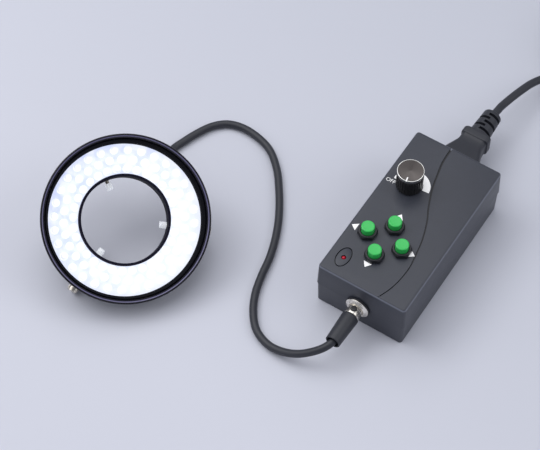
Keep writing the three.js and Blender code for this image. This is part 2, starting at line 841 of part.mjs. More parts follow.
screwPlaces.forEach(([x, y], i) => {
  const headTop = caseScrewRecess - seatGap;
  const mesh = add(ringLight, `case_screw_${i + 1}`, steel, join(
    rod(caseScrewHeadRadius, headTop - caseScrewHeadLength, headTop, smallSides),
    rod(caseScrewRadius, headTop - joinDepth, screwTop, pinSides),
  ));
  mesh.position.set(x, y, 0);
});

// Oval inset and red lamp.
const inset = prism(oval(0), caseHeight - insetThickness, caseHeight).translate(insetX, insetY, 0);
add(ringLight, 'led_inset', casePlastic, cut(inset, panelHole(lampRadius, lampX, lampY)));
const lampTop = caseHeight + seatGap;
const lamp = add(ringLight, 'power_led', lampRed, revolve([
  [0, lampTop],
  [lampRadius * Math.SQRT1_2, lampTop - lampRadius * (1 - Math.SQRT1_2)],
  [lampRadius, lampTop - lampRadius],
  [lampRadius, lampTop - lampLength],
  [0, lampTop - lampLength],
], pinSides));
lamp.position.set(lampX, lampY, 0);

// Push buttons: switch with its hexagon nut, and the cap that slides in it.
buttonPlaces.forEach(([x, y], i) => {
  const bezelLow = caseHeight + seatGap;
  const bezelTop = caseHeight + bezelHeight;
  const switchTop = panelUnder - seatGap;
  const capLow = caseHeight - buttonCapStem;
  const nut = prism(hexagon(2 * bezelRadius * Math.cos(Math.PI / 6)), bezelLow, bezelTop)
    .rotateZ(Math.PI / 6);
  const nutRound = revolve([
    [0, bezelLow - seatGap],
    [bezelRadius, bezelLow - seatGap],
    [bezelRadius, bezelTop - bezelEdge],
    [bezelRadius - bezelEdge, bezelTop],
    [0, bezelTop],
  ], roundSides);
  const body = join(
    manifoldOf(nut).intersect(manifoldOf(nutRound)),
    rod(bushingRadius, switchTop - joinDepth, bezelLow + joinDepth, smallSides),
    rod(switchRadius, switchTop - switchDepth, switchTop, smallSides),
  );
  const well = rod(
    buttonCapRadius + slideGap, capLow - buttonTravel - seatGap, bezelTop + overrun, roundSides,
  );
  const mouth = revolve([
    [0, bezelTop - bezelMouthDepth],
    [buttonCapRadius, bezelTop - bezelMouthDepth],
    [bezelMouth, bezelTop],
    [bezelMouth, bezelTop + overrun],
    [0, bezelTop + overrun],
  ], roundSides);
  const button = add(ringLight, `button_switch_${i + 1}`, blackPlastic, cut(body, well, mouth));
  button.position.set(x, y, 0);
  const capTop = caseHeight + buttonCapHeight;
  const cap = add(ringLight, `button_cap_${i + 1}`, buttonGreen, revolve([
    [0, capTop],
    [buttonCapRadius - buttonCapEdge, capTop],
    [buttonCapRadius, capTop - buttonCapEdge],
    [buttonCapRadius, capLow],
    [0, capLow],
  ], roundSides));
  cap.position.set(x, y, 0);
});

// Dimmer.
const dimmer = new THREE.Group();
dimmer.position.set(knobX, knobY, 0);
ringLight.add(dimmer);
const knobLow = caseHeight + knobLift;
const knobTop = caseHeight + knobHeight;
const capSeat = knobTop - knobCapThickness;
const shaftTop = capSeat - knobCapThickness;
const ringLow = capSeat - seatGap - knobRingLength;
add(dimmer, 'dimmer_knob', blackPlastic, cut(
  join(
    prism(fluted(knobRadius, knobFluteDepth, knobFlutes), knobLow, ringLow),
    rod(knobRadius - knobFluteDepth, ringLow - joinDepth, capSeat - seatGap, roundSides * 2),
  ),
  rod(knobRadius - knobSkirtWall, knobLow - overrun, knobLow + knobSkirtDepth, roundSides),
  rod(shaftRadius + runGap, knobLow - overrun, shaftTop + seatGap, roundSides),
));
const capFace = rod(knobRadius, capSeat, knobTop, roundSides * 2);
const pointer = slab(
  knobRadius - pointerLength, knobRadius + overrun, -pointerWidth / 2, pointerWidth / 2,
  knobTop - pointerDepth, knobTop + overrun,
).rotateZ(pointerAngle);
add(dimmer, 'knob_cap', bronze, cut(capFace, pointer));
const potTop = panelUnder - seatGap;
const shaftLow = potTop - potDepth + potShaftFloor + seatGap;
add(dimmer, 'dimmer_shaft', steel, rod(shaftRadius, shaftLow, shaftTop, roundSides));
add(dimmer, 'dimmer_pot', steel, cut(
  join(
    rod(potRadius, potTop - potDepth, potTop, roundSides),
    rod(potBushingRadius, potTop - joinDepth, caseHeight + potBushingHeight, roundSides),
  ),
  rod(shaftRadius + runGap, shaftLow - seatGap, caseHeight + potBushingHeight + overrun, roundSides),
));
add(dimmer, 'pot_nut', steel, cut(
  prism(hexagon(potNutFlats), caseHeight + seatGap, caseHeight + seatGap + potNutHeight),
  rod(potBushingRadius + runGap, caseHeight - overrun, caseHeight + potNutHeight + overrun, roundSides),
));

// Lead socket and plug, built along +Y from the plug's rear to the box.
const front = new THREE.Group();
front.position.set(socketX, -halfLength - topFlare(socketZ), socketZ);
ringLight.add(front);
const gasketFace = -seatGap - gasketThickness;
const flangeBack = gasketFace - seatGap;
const flangeFront = flangeBack - socketFlangeThickness;
const socketFront = flangeFront - socketDomeLength;
add(front, 'socket_gasket', rubber, alongY(revolve([
  [socketBarrelRadius + seatGap, gasketFace],
  [gasketRadius, gasketFace],
  [gasketRadius, -seatGap],
  [socketBarrelRadius + seatGap, -seatGap],
], roundSides)));
add(front, 'lead_socket', chrome, alongY(revolve([
  [plugRadius + slideGap, socketFront],
  [socketLipRadius, socketFront],
  [(socketFlangeRadius + socketLipRadius) / 2, flangeFront - socketDomeLength / 3],
  [socketFlangeRadius, flangeFront],
  [socketFlangeRadius, flangeBack],
  [socketBarrelRadius, flangeBack],
  [socketBarrelRadius, socketBarrelLength],
  [0, socketBarrelLength],
  [0, plugReach + seatGap],
  [plugRadius + slideGap, plugReach + seatGap],
].reverse(), roundSides)));
const nutSeat = caseWall + topFlare(socketZ) + seatGap;
add(front, 'socket_nut', steel, cut(
  alongY(prism(hexagon(socketNutFlats), nutSeat, nutSeat + socketNutThickness)),
  alongY(rod(socketBarrelRadius + slideGap, 0, nutSeat + socketNutThickness + overrun, roundSides)),
));

const bootFront = -plugShow - seatGap;
const bootRear = bootFront - bootLength;
const latchTop = plugRadius + latchStand;
const latchWell = rod(
  latchRadius + slideGap, latchTop - latchLength - latchTravel - seatGap, plugRadius + overrun, smallSides,
).translate(0, -latchBack, 0);
add(front, 'plug_shell', chrome, cut(
  alongY(revolve([
    [0, plugReach],
    [plugRadius, plugReach],
    [plugRadius, -plugShow],
    [plugTailRadius, -plugShow],
    [plugTailRadius, -plugShow - plugTailLength],
    [0, -plugShow - plugTailLength],
  ], roundSides)),
  latchWell,
));
add(front, 'plug_latch', blackPlastic, rod(
  latchRadius, latchTop - latchLength, latchTop, smallSides,
).translate(0, -latchBack, 0));
const tailBore = bootFront - plugTailLength;
add(front, 'plug_boot', rubber, alongY(revolve([
  [0, tailBore],
  [plugTailRadius + slideGap, tailBore],
  [plugTailRadius + slideGap, bootFront],
  [bootFrontRadius - bootEdge, bootFront],
  [bootFrontRadius, bootFront - bootEdge],
  [bootRearRadius, bootRear],
  [bootMouthRadius, bootRear],
  [bootThroat, bootRear + bootMouthDepth],
  [0, bootRear + bootMouthDepth],
], roundSides)));

// Lead.
ringLight.updateMatrixWorld(true);
const [glandX, glandY] = atAngle(glandAngle, glandPlace);
const leadStart = head.localToWorld(new THREE.Vector3(glandX, glandY, glandEnd - seatGap));
const leadOut = head.localToWorld(new THREE.Vector3(glandX, glandY, glandEnd - leadRadius));
const leadEnd = new THREE.Vector3(0, bootRear + bootMouthDepth - seatGap, 0).add(front.position);
const leadIn = new THREE.Vector3(0, bootRear + bootMouthDepth - leadRadius, 0).add(front.position);
const lead = cord(
  [leadStart.toArray(), leadOut.toArray(), ...leadRoute, leadIn.toArray(), leadEnd.toArray()],
  leadRadius, leadSides, leadSteps,
);
add(ringLight, 'lead', rubber, lead.tube);

// Circuit board, transformer and capacitor.
const circuitTop = circuitHeight + circuitThickness;
add(ringLight, 'control_board', circuitGreen, slab(
  -boardWidth / 2, boardWidth / 2, boardBack - boardLength, boardBack, circuitHeight, circuitTop,
));
const partsLow = circuitTop + seatGap;
const coilMiddle = partsLow + transformerHeight / 2;
add(ringLight, 'transformer', tapeYellow, join(
  slab(
    transformerX - transformerWidth / 2, transformerX + transformerWidth / 2,
    transformerY - transformerLength / 2, transformerY + transformerLength / 2,
    partsLow, partsLow + transformerHeight,
  ),
  slab(
    transformerX - coreWidth / 2, transformerX + coreWidth / 2,
    transformerY - coreLength / 2, transformerY + coreLength / 2,
    coilMiddle - coreHeight / 2, coilMiddle + coreHeight / 2,
  ),
));
add(ringLight, 'filter_capacitor', sleeveBlue, rod(
  capacitorRadius, partsLow, partsLow + capacitorHeight, smallSides,
).translate(capacitorX, capacitorY, 0));

// Mains inlet in the back wall and the connector in it, built along +Y from the wall's face.
const back = new THREE.Group();
back.position.set(inletX, endWall, inletZ);
ringLight.add(back);
const cavityFloor = -noseLength - seatGap;
const inletRear = cavityFloor - inletFloor;
const pinPlaces = [[-pinSpread, pinOffset], [pinSpread, pinOffset], [0, -pinOffset]];
const alongInlet = (shape, from, to) => alongY(prism(shape, from, to));
const pinSlot = ([x, z], grow, from, to) => slab(
  x - pinThickness / 2 - grow, x + pinThickness / 2 + grow, from, to,
  z - pinWidth / 2 - grow, z + pinWidth / 2 + grow,
);
add(back, 'mains_inlet', blackPlastic, cut(
  alongInlet(chamfered(inletWidth, inletHeight, noseCorner), inletRear, 0),
  alongInlet(
    chamfered(noseWidth + 2 * seatGap, noseHeight + 2 * seatGap, noseCorner), cavityFloor, overrun,
  ),
  ...pinPlaces.map((place) => pinSlot(place, slideGap, inletRear - overrun, cavityFloor + overrun)),
));
['line', 'neutral', 'earth'].forEach((use, i) => {
  add(back, `inlet_pin_${use}`, steel, pinSlot(
    pinPlaces[i], 0, inletRear - pinTail, cavityFloor + pinLength,
  ));
});

const shoulderAt = seatGap * 2;
const gripStart = waistAt + gripRound / 2;
const gripEnd = gripStart + gripLength;
const reliefEnd = gripEnd + reliefLength;
const connectorBody = loft([
  [shoulderAt, shoulderWidth, shoulderHeight],
  [shoulderLength, shoulderWidth, shoulderHeight],
  [neckAt, neckWidth, neckHeight],
  [waistAt, waistWidth, waistHeight],
  [gripStart, gripWidth - gripRound / 2, gripHeight - gripRound / 2],
  [gripStart + gripRound, gripWidth, gripHeight],
  [gripEnd - gripRound, gripWidth, gripHeight],
  [gripEnd, gripWidth - 2 * gripRound, gripHeight - gripRound / 2],
], outlineCorner, cornerSteps);
const relief = alongY(revolve([
  [0, gripEnd - joinDepth],
  [reliefRootRadius, gripEnd - joinDepth],
  [reliefTipRadius, reliefEnd - reliefRound],
  [reliefTipRadius - reliefRound, reliefEnd],
  [0, reliefEnd],
], roundSides));
const slotShape = new THREE.Shape();
slotShape.absarc(0, 0, reliefCore, -reliefSlotHalfAngle, reliefSlotHalfAngle, false);
slotShape.absarc(0, 0, reliefRootRadius + overrun, reliefSlotHalfAngle, -reliefSlotHalfAngle, true);
const slots = Array.from({ length: reliefSlotCount }, (_, i) => {
  const start = gripEnd + reliefSlotStart + i * reliefSlotPitch;
  const slot = prism(slotShape, start, start + reliefSlotWidth);
  return alongY(slot.rotateZ(i % 2 ? Math.PI : 0));
});
add(back, 'mains_connector', rubber, cut(
  join(
    connectorBody,
    alongInlet(chamfered(noseWidth, noseHeight, noseCorner), -noseLength, shoulderAt + joinDepth),
    relief,
  ),
  ...slots,
  ...pinPlaces.map((place) => pinSlot(
    place, slideGap, -noseLength - overrun, cavityFloor + pinLength + seatGap,
  )),
));

// Mains lead: from the connector to the coil.
const turnPitch = 2 * mainsRadius + turnGap;
const mainsStart = [inletX, endWall + reliefEnd + seatGap, inletZ];
const coilEntry = [coilX - coilLead - seatGap, coilY - coilRadius, mainsRadius];
const coilRun = [coilEntry[0] - coilLead, ...coilEntry.slice(1)];
const mains = cord(
  [mainsStart, ...mainsRoute, coilRun, coilEntry], mainsRadius, mainsSides, mainsSteps,
);
add(ringLight, 'mains_cord', rubber, mains.tube);

// Coil: piled turns that spiral in and out again, climbing a layer in each half turn of reversal.
const layerTurns = coilTurnsIn + 0.5;
const totalTurns = coilLayers * layerTurns - 0.5;
const firstLeg = layerTurns - 0.25;
function coilPoint(turn) {
  const phase = (turn + layerTurns - firstLeg) / layerTurns;
  const layer = Math.floor(phase);
  const into = (phase - layer) * layerTurns;
  const inward = layer % 2 === 0 ? into : layerTurns - into;
  const radius = coilRadius - (inward - (layerTurns - firstLeg)) * turnPitch;
  const toEdge = Math.min(into, layerTurns - into);
  const half = 0.25;
  const rise = toEdge < half ? (1 - toEdge / half) / 2 : 0;
  const level = Math.min(Math.max(layer + (into < half ? -rise : rise), 0), coilLayers - 1);
  const angle = turn * 2 * Math.PI - Math.PI / 2;
  return new THREE.Vector3(
    coilX + radius * Math.cos(angle), coilY + radius * Math.sin(angle), mainsRadius + level * turnPitch,
  );
}
const coilCount = Math.round(totalTurns * coilSteps);
const coilMiddles = Array.from({ length: coilCount + 1 }, (_, i) => coilPoint(i / coilSteps));
const coilFirst = coilMiddles[0].clone().add(new THREE.Vector3(-coilLead, 0, 0));
const coilLast = coilMiddles[coilCount].clone().add(new THREE.Vector3(coilLead, 0, 0));
coilMiddles.unshift(coilFirst);
coilMiddles.push(coilLast);
const coilRings = coilMiddles.map((middle, i) => {
  const before = coilMiddles[Math.max(i - 1, 0)];
  const after = coilMiddles[Math.min(i + 1, coilMiddles.length - 1)];
  const ahead = after.clone().sub(before).normalize();
  const side = new THREE.Vector3(0, 0, 1).cross(ahead).normalize();
  const up = ahead.clone().cross(side);
  return ringOf(coilSides, () => mainsRadius).map(([x, y]) => middle.clone()
    .addScaledVector(up, x)
    .addScaledVector(side, y));
});
add(ringLight, 'mains_coil', rubber, skin(coilRings));

// The least gap between turns, measured between points a third of a turn or more apart.
let leastApart = Infinity;
coilMiddles.forEach((p, i) => {
  for (let j = i + Math.round(coilSteps / 3); j < coilMiddles.length; j += 1) {
    leastApart = Math.min(leastApart, p.distanceTo(coilMiddles[j]));
  }
});
let coilLength = 0;
coilMiddles.forEach((p, i) => {
  if (i > 0) coilLength += p.distanceTo(coilMiddles[i - 1]);
});

// Tail and mains plug, which lies beside the coil and points along +Y.
const plug = new THREE.Group();
plug.position.set(plugX, plugY, plugAxisHeight);
ringLight.add(plug);
const tail = cord([
  coilLast.clone().add(new THREE.Vector3(seatGap, 0, 0)).toArray(),
  coilLast.clone().add(new THREE.Vector3(mainsRadius, 0, 0)).toArray(),
  ...tailRoute.map(([x, y, z]) => [coilLast.x + x, coilLast.y + y, coilLast.z + z]),
  [plugX, plugY - mainsRadius, plugAxisHeight],
  [plugX, plugY - seatGap, plugAxisHeight],
], mainsRadius, tailSides, tailSteps);
add(ringLight, 'mains_tail', rubber, tail.tube);
const plugFace = plugReliefLength + plugBodyLength;
const plugBody = loft([
  [plugReliefLength, plugBodyWidth - 2 * plugBodyRound, plugBodyHeight - 2 * plugBodyRound],
  [plugReliefLength + plugBodyRound, plugBodyWidth, plugBodyHeight],
  [plugFace, plugBodyWidth, plugBodyHeight],
], plugBodyRound, cornerSteps);
const plugRelief = alongY(revolve([
  [0, 0],
  [plugReliefTip, 0],
  [plugReliefRoot, plugReliefLength + joinDepth],
  [0, plugReliefLength + joinDepth],
], roundSides));
const bladeAt = (side, grow, from, to) => slab(
  side * bladeSpread - bladeThickness / 2 - grow, side * bladeSpread + bladeThickness / 2 + grow,
  from, to, bladeRise - bladeWidth / 2 - grow, bladeRise + bladeWidth / 2 + grow,
);
const earthAt = (grow, from, to) => alongY(rod(earthRadius + grow, from, to, pinSides))
  .translate(0, 0, -earthDrop);
const bladeFoot = plugFace - bladeSeat;
add(plug, 'mains_plug', rubber, cut(
  join(plugBody, plugRelief),
  bladeAt(-1, slideGap, bladeFoot - seatGap, plugFace + overrun),
  bladeAt(1, slideGap, bladeFoot - seatGap, plugFace + overrun),
  earthAt(slideGap, bladeFoot - seatGap, plugFace + overrun),
));
add(plug, 'plug_blade_line', nickel, bladeAt(-1, 0, bladeFoot, plugFace + bladeLength));
add(plug, 'plug_blade_neutral', nickel, bladeAt(1, 0, bladeFoot, plugFace + bladeLength));
add(plug, 'plug_earth_pin', nickel, earthAt(0, bladeFoot, plugFace + earthLength));

console.log(
  `lead ${lead.length.toFixed(1)} mm, mains lead ${(mains.length + coilLength + tail.length).toFixed(1)} mm, `
  + `least gap between turns of the coil ${(leastApart - 2 * mainsRadius).toFixed(2)} mm`,
);

export default ringLight;
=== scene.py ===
# Microscope ring light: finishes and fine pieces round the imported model.
# Sizes and places in the dictionaries are millimetres in the model's own frame, and metres in studio.
import bpy
import bmesh
import math
from mathutils import Matrix, Vector


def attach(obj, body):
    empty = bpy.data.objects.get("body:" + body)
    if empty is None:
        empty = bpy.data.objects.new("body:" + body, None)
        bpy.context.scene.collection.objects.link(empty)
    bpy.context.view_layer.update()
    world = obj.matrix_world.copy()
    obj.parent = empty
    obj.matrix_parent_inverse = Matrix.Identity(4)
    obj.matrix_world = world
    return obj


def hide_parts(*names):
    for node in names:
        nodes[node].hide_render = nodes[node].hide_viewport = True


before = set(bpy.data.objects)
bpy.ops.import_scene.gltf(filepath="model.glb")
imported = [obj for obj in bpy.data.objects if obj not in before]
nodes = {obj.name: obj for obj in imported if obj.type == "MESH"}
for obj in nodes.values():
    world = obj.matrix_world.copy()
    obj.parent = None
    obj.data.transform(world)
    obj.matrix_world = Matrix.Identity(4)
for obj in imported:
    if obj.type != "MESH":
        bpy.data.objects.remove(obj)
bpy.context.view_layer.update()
mm = 0.001
print("model loaded:", len(nodes), "nodes")

camera = {
    "at": (288.2, -627.8, 1085.5),
    "lookAt": (-94.7, -34.0, 0.0),
    "lens": 120.0,
    "sensor": 36.0,
    "yaw": -32.81,  # of the box, seen from the camera's heading
}


def displayColour(red, green, blue):
    def linear(value):
        value /= 255
        return value / 12.92 if value <= 0.04045 else ((value + 0.055) / 1.055) ** 2.4
    return (linear(red), linear(green), linear(blue), 1.0)


def link(thing):
    bpy.context.scene.collection.objects.link(thing)
    return thing


def spun(degrees, axis):
    return Matrix.Rotation(math.radians(degrees), 4, axis)


def inMetres(place):
    return Matrix.Translation(place.translation * mm) @ place.to_3x3().to_4x4()


def aim(thing, at, target):
    thing.location = at
    thing.rotation_euler = (target - at).to_track_quat("-Z", "Y").to_euler()


eye = link(bpy.data.objects.new("photoCamera", bpy.data.cameras.new("photoCamera")))
eye.data.lens = camera["lens"]
eye.data.sensor_width = camera["sensor"]
eye.data.sensor_fit = "HORIZONTAL"
eye.data.clip_end = 50
aim(eye, Vector(camera["at"]) * mm, Vector(camera["lookAt"]) * mm)
bpy.context.scene.camera = eye


# Cords: the same routes as their solids.
def centripetal(points, perSpan):
    ends = [2 * points[0] - points[1], *points, 2 * points[-1] - points[-2]]
    path = []
    for i in range(1, len(ends) - 2):
        a, b, c, d = ends[i - 1:i + 3]
        first, span, last = [max((q - p).length ** 0.5, 1e-4) for p, q in ((a, b), (b, c), (c, d))]
        leave = ((b - a) / first - (c - a) / (first + span) + (c - b) / span) * span
        arrive = ((c - b) / span - (d - b) / (span + last) + (d - c) / last) * span
        for step in range(perSpan):
            t = step / perSpan
            path.append(
                (2 * t ** 3 - 3 * t ** 2 + 1) * b + (t ** 3 - 2 * t ** 2 + t) * leave
                + (3 * t ** 2 - 2 * t ** 3) * c + (t ** 3 - t ** 2) * arrive
            )
    return [*path, points[-1]]


def pathLength(path):
    return sum((q - p).length for p, q in zip(path, path[1:]))


def evened(path, passes):
    for _ in range(passes):
        inner = [(a + 2 * b + c) / 4 for a, b, c in zip(path, path[1:], path[2:])]
        path = [path[0], *inner, path[-1]]
    return path


def tidyMesh(piece, sharp=32.0):
    shape = bmesh.new()
    shape.from_mesh(piece.data)
    bmesh.ops.remove_doubles(shape, verts=shape.verts, dist=2e-7)
    bmesh.ops.recalc_face_normals(shape, faces=shape.faces)
    shape.to_mesh(piece.data)
    shape.free()
    piece.data.shade_smooth()
    piece.data.set_sharp_from_angle(angle=math.radians(sharp))


def cordTube(name, path, radius):
    curve = bpy.data.curves.new(name, "CURVE")
    curve.dimensions = "3D"
    curve.bevel_depth = radius * mm
    curve.bevel_resolution = 4
    curve.use_fill_caps = True
    spline = curve.splines.new("POLY")
    spline.points.add(len(path) - 1)
    for point, place in zip(spline.points, path):
        point.co = (*(place * mm), 1.0)
    spline.use_smooth = True
    strand = link(bpy.data.objects.new(name, curve))
    mesh = bpy.data.meshes.new_from_object(strand.evaluated_get(bpy.context.evaluated_depsgraph_get()))
    bpy.data.objects.remove(strand)
    tube = link(bpy.data.objects.new(name, mesh))
    tidyMesh(tube, 60.0)
    return tube


lampHead = {
    "x": -164.15, "y": -109.25, "azimuth": -41.2,
    "boreRadius": 30.5, "sleeveRadius": 32.2, "sleeveFront": 12.5,
    "bodyRadius": 57.6, "bodyWall": 1.7, "bodyDepth": 21.0, "plate": 1.5, "rearChamfer": 1.8,
    "ledge": 1.7, "ledgeHeight": 0.6, "shellFront": 4.5,
    "neckRadius": 38.6, "neckDepth": 32.0, "neckChamfer": 0.6,
}
rearEdge = lampHead["bodyRadius"] - lampHead["rearChamfer"]
neckEdge = lampHead["neckRadius"] - lampHead["neckChamfer"]
headTilt = math.atan2(lampHead["neckDepth"] - lampHead["bodyDepth"], rearEdge - neckEdge)
headHeight = lampHead["bodyDepth"] * math.cos(headTilt) + rearEdge * math.sin(headTilt)
headPlace = (
    Matrix.Translation((lampHead["x"], lampHead["y"], headHeight))
    @ spun(lampHead["azimuth"] + 90, "Z")
    @ Matrix.Rotation(headTilt, 4, "X")
)

gland = {
    "angle": 40.0, "place": 47.0, "plug": 3.4, "flange": 5.0, "flangeDepth": 1.5,
    "root": 4.3, "tip": 3.5, "length": 13.5, "gap": 0.3,
}
box = {
    "width": 68.6, "length": 135.0, "height": 43.3, "seam": 21.3, "flare": 0.65, "baseFlare": -0.15,
    "baseSeamFlare": 0.25, "wall": 2.3, "corner": 2.4, "leastCorner": 0.6, "cavityCorner": 1.4,
    "rounding": 1.6, "seamInset": 0.12, "seamRise": 0.15, "sideRing": 32.0, "rooted": 0.4,
    "posts": ((-24, 35), (24, 35), (-24, -41), (24, -41)), "post": 3.0, "postTop": 7.7, "gap": 0.3,
}


def topFlare(z):
    return box["flare"] * (box["height"] - z) / (box["height"] - box["seam"])


def baseFlare(z):
    return box["baseFlare"] + (box["baseSeamFlare"] - box["baseFlare"]) * z / box["seam"]


socket = {
    "x": -0.6, "z": 20.5, "barrel": 7.0, "barrelLength": 12.0, "flange": 8.9, "lip": 6.7,
    "flangeDepth": 0.8, "dome": 1.6, "gasket": 9.3, "gasketDepth": 0.6, "gap": 0.3,
}
leadPlug = {
    "radius": 5.65, "reach": 8.0, "show": 10.1, "tail": 4.4, "tailLength": 8.0,
    "latch": 2.2, "latchBack": 6.3, "latchStand": 0.75, "latchLength": 3.0, "latchTravel": 0.8,
    "bootFront": 6.3, "bootRear": 5.45, "bootLength": 23.3, "mouthDepth": 6.0, "mouth": 4.6,
    "throat": 3.3, "groove": (-5.2, -5.35, -5.65, -5.8), "grooveDepth": 0.18, "play": 0.15, "gap": 0.3,
}
alongY = spun(-90, "X")
socketPlace = Matrix.Translation((
    socket["x"], -box["length"] / 2 - topFlare(socket["z"]), socket["z"],
)) @ alongY  # local Z runs into the box

lead = {
    "radius": 2.85,
    "route": [
        (-179.35, -46.75, 23.1), (-185.65, -37.35, 13.4), (-189.6, -26.85, 5.9), (-189.6, -16, 2.95),
        (-187, -7.5, 2.9), (-184, 1.3, 2.9), (-177.5, 14.5, 2.9), (-169.1, 22.6, 2.9),
        (-157.6, 25.9, 2.9), (-142.7, 24.6, 2.9), (-129.4, 19.6, 2.9), (-116, 8.2, 2.9),
        (-104.8, -6.2, 2.9), (-94.9, -21.4, 2.9), (-86.6, -37.4, 2.9), (-79.4, -57.2, 2.9),
        (-75.5, -75, 2.9), (-71.4, -89, 2.9), (-64.4, -102.5, 2.9), (-54.6, -113.4, 2.9),
        (-42.1, -118.8, 3.05), (-29.8, -119.5, 5.7), (-18.3, -117.2, 10.2), (-8.8, -112.2, 15.4),
        (-3.4, -107.2, 18.7), (-1, -102.4, 20.2),
    ],
}
turn = math.radians(gland["angle"])
glandEnd = -lampHead["bodyDepth"] - gland["gap"] - gland["flangeDepth"] - gland["length"]
glandAt = (gland["place"] * math.cos(turn), gland["place"] * math.sin(turn))
bootEnd = -leadPlug["show"] - leadPlug["gap"] - leadPlug["bootLength"] + leadPlug["mouthDepth"]
leadPath = centripetal([
    headPlace @ Vector((*glandAt, glandEnd - leadPlug["gap"])),
    headPlace @ Vector((*glandAt, glandEnd - lead["radius"])),
    *[Vector(point) for point in lead["route"]],
    socketPlace @ Vector((0, 0, bootEnd - lead["radius"])),
    socketPlace @ Vector((0, 0, bootEnd - leadPlug["gap"])),
], 8)
for point in leadPath:  # the curve between low points may not dip under the floor
    point.z = max(point.z, lead["radius"])
leadCord = cordTube("leadCord", leadPath, lead["radius"])
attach(leadCord, "base")
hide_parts("lead")

mains = {
    "radius": 3.0, "x": -1.7, "z": 20.5, "connectorEnd": 55.9,
    "route": [
        (-1.2, 130.7, 20), (-1.1, 134.6, 19.3), (-0.5, 139.5, 18.5), (1.3, 149, 17.5),
        (3.6, 159.7, 16), (6.2, 170.2, 14), (9.7, 179.3, 11.8), (14.8, 188.9, 8.6), (21.4, 197.5, 5.4),
        (28.6, 203.2, 3.5),
    ],
    "coilX": 48.0, "coilY": 243.2, "coilRadius": 37.9, "turnsIn": 1.625, "layers": 4,
    "turnGap": 0.6, "straight": 6.0, "stepsPerTurn": 48,
    "tail": [
        (9.4, 0, -0.1), (19.1, 2, -1.4), (28.3, 7, -4), (35, 14.2, -7), (39.5, 23.1, -9.8),
        (41.5, 32.9, -11.8),
    ],
    "plugX": 95.5, "plugY": 248.0, "plugZ": 10.6, "gap": 0.3,
}


def coilPoint(turns):
    # the wound layers spiral in and out again and climb in each half turn of reversal
    layerTurns = mains["turnsIn"] + 0.5
    pitch = 2 * mains["radius"] + mains["turnGap"]
    phase = (turns + 0.25) / layerTurns
    layer = math.floor(phase)
    into = (phase - layer) * layerTurns
    inward = into if layer % 2 == 0 else layerTurns - into
    radius = mains["coilRadius"] - (inward - 0.25) * pitch
    toEdge = min(into, layerTurns - into)
    rise = (1 - toEdge / 0.25) / 2 if toEdge < 0.25 else 0
    level = min(max(layer + (-rise if into < 0.25 else rise), 0), mains["layers"] - 1)
    angle = turns * 2 * math.pi - math.pi / 2
    return Vector((
        mains["coilX"] + radius * math.cos(angle), mains["coilY"] + radius * math.sin(angle),
        mains["radius"] + level * pitch,
    ))


totalTurns = mains["layers"] * (mains["turnsIn"] + 0.5) - 0.5
coilCount = round(totalTurns * mains["stepsPerTurn"])
coilPath = [coilPoint(totalTurns * i / coilCount) for i in range(coilCount + 1)]
coilLast = coilPath[-1] + Vector((mains["straight"], 0, 0))
coilEntry = Vector((
    mains["coilX"] - mains["straight"] - mains["gap"], mains["coilY"] - mains["coilRadius"],
    mains["radius"],
))
mainsStart = Vector((
    mains["x"], box["length"] / 2 + topFlare(mains["z"]) + mains["connectorEnd"] + mains["gap"],
    mains["z"],
))
plugAt = Vector((mains["plugX"], mains["plugY"], mains["plugZ"]))
mainsPath = [
    *centripetal([
        mainsStart, *[Vector(point) for point in mains["route"]],
        coilEntry - Vector((mains["straight"], 0, 0)), coilEntry,
    ], 8),
    *evened(coilPath, 6),
    *centripetal([
        coilLast + Vector((mains["gap"], 0, 0)), coilLast + Vector((mains["radius"], 0, 0)),
        *[coilLast + Vector(point) for point in mains["tail"]],
        plugAt - Vector((0, mains["radius"], 0)), plugAt - Vector((0, mains["gap"], 0)),
    ], 8),
]
mainsCord = cordTube("mainsCord", mainsPath, mains["radius"])
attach(mainsCord, "base")
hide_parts("mains_cord", "mains_coil", "mains_tail")
print("cords:", round(pathLength(leadPath)), "mm and", round(pathLength(mainsPath)), "mm")

studio = {
    "floorSize": 16.0, "floorDrop": 0.0002, "floorColour": (214, 216, 227), "farShadedColour": (196, 199, 210),
    "fade": (-0.25, 0.45), "floorRough": 0.75, "floorShine": 0.2,
    "worldColour": (236, 239, 250), "worldStrength": 0.38,
    "softboxes": [
        # place and target from the camera's heading, size, watts
        ("overheadSoftbox", (-0.45, 0.5, 1.9), (0.0, 0.0, 0.0), 2.4, 26.0),
        ("keySoftbox", (-1.15, 0.55, 1.75), (-0.02, 0.0, 0.0), 0.9, 5.0),
        ("fillSoftbox", (1.5, -0.2, 1.2), (0.0, 0.0, 0.0), 1.2, 6.5),
        ("sideSoftbox", (-1.4, -0.2, 0.9), (0.05, 0.0, 0.0), 0.9, 3.0),
    ],
}


def fromHeading(x, y, z):
    turned = Matrix.Rotation(math.radians(-camera["yaw"]), 3, "Z") @ Vector((x, y, z))
    return turned + Vector((camera["lookAt"][0] * mm, camera["lookAt"][1] * mm, 0))


for name, place, target, size, watts in studio["softboxes"]:
    lamp = link(bpy.data.objects.new(name, bpy.data.lights.new(name, "AREA")))
    lamp.data.shape = "SQUARE"
    lamp.data.size = size
    lamp.data.energy = watts
    aim(lamp, fromHeading(*place), fromHeading(*target))

sky = bpy.data.worlds.new("studioAir")
sky.use_nodes = True
air = sky.node_tree.nodes["Background"].inputs
air["Color"].default_value = displayColour(*studio["worldColour"])
air["Strength"].default_value = studio["worldStrength"]
bpy.context.scene.world = sky
bpy.context.scene.view_settings.view_transform = "Standard"


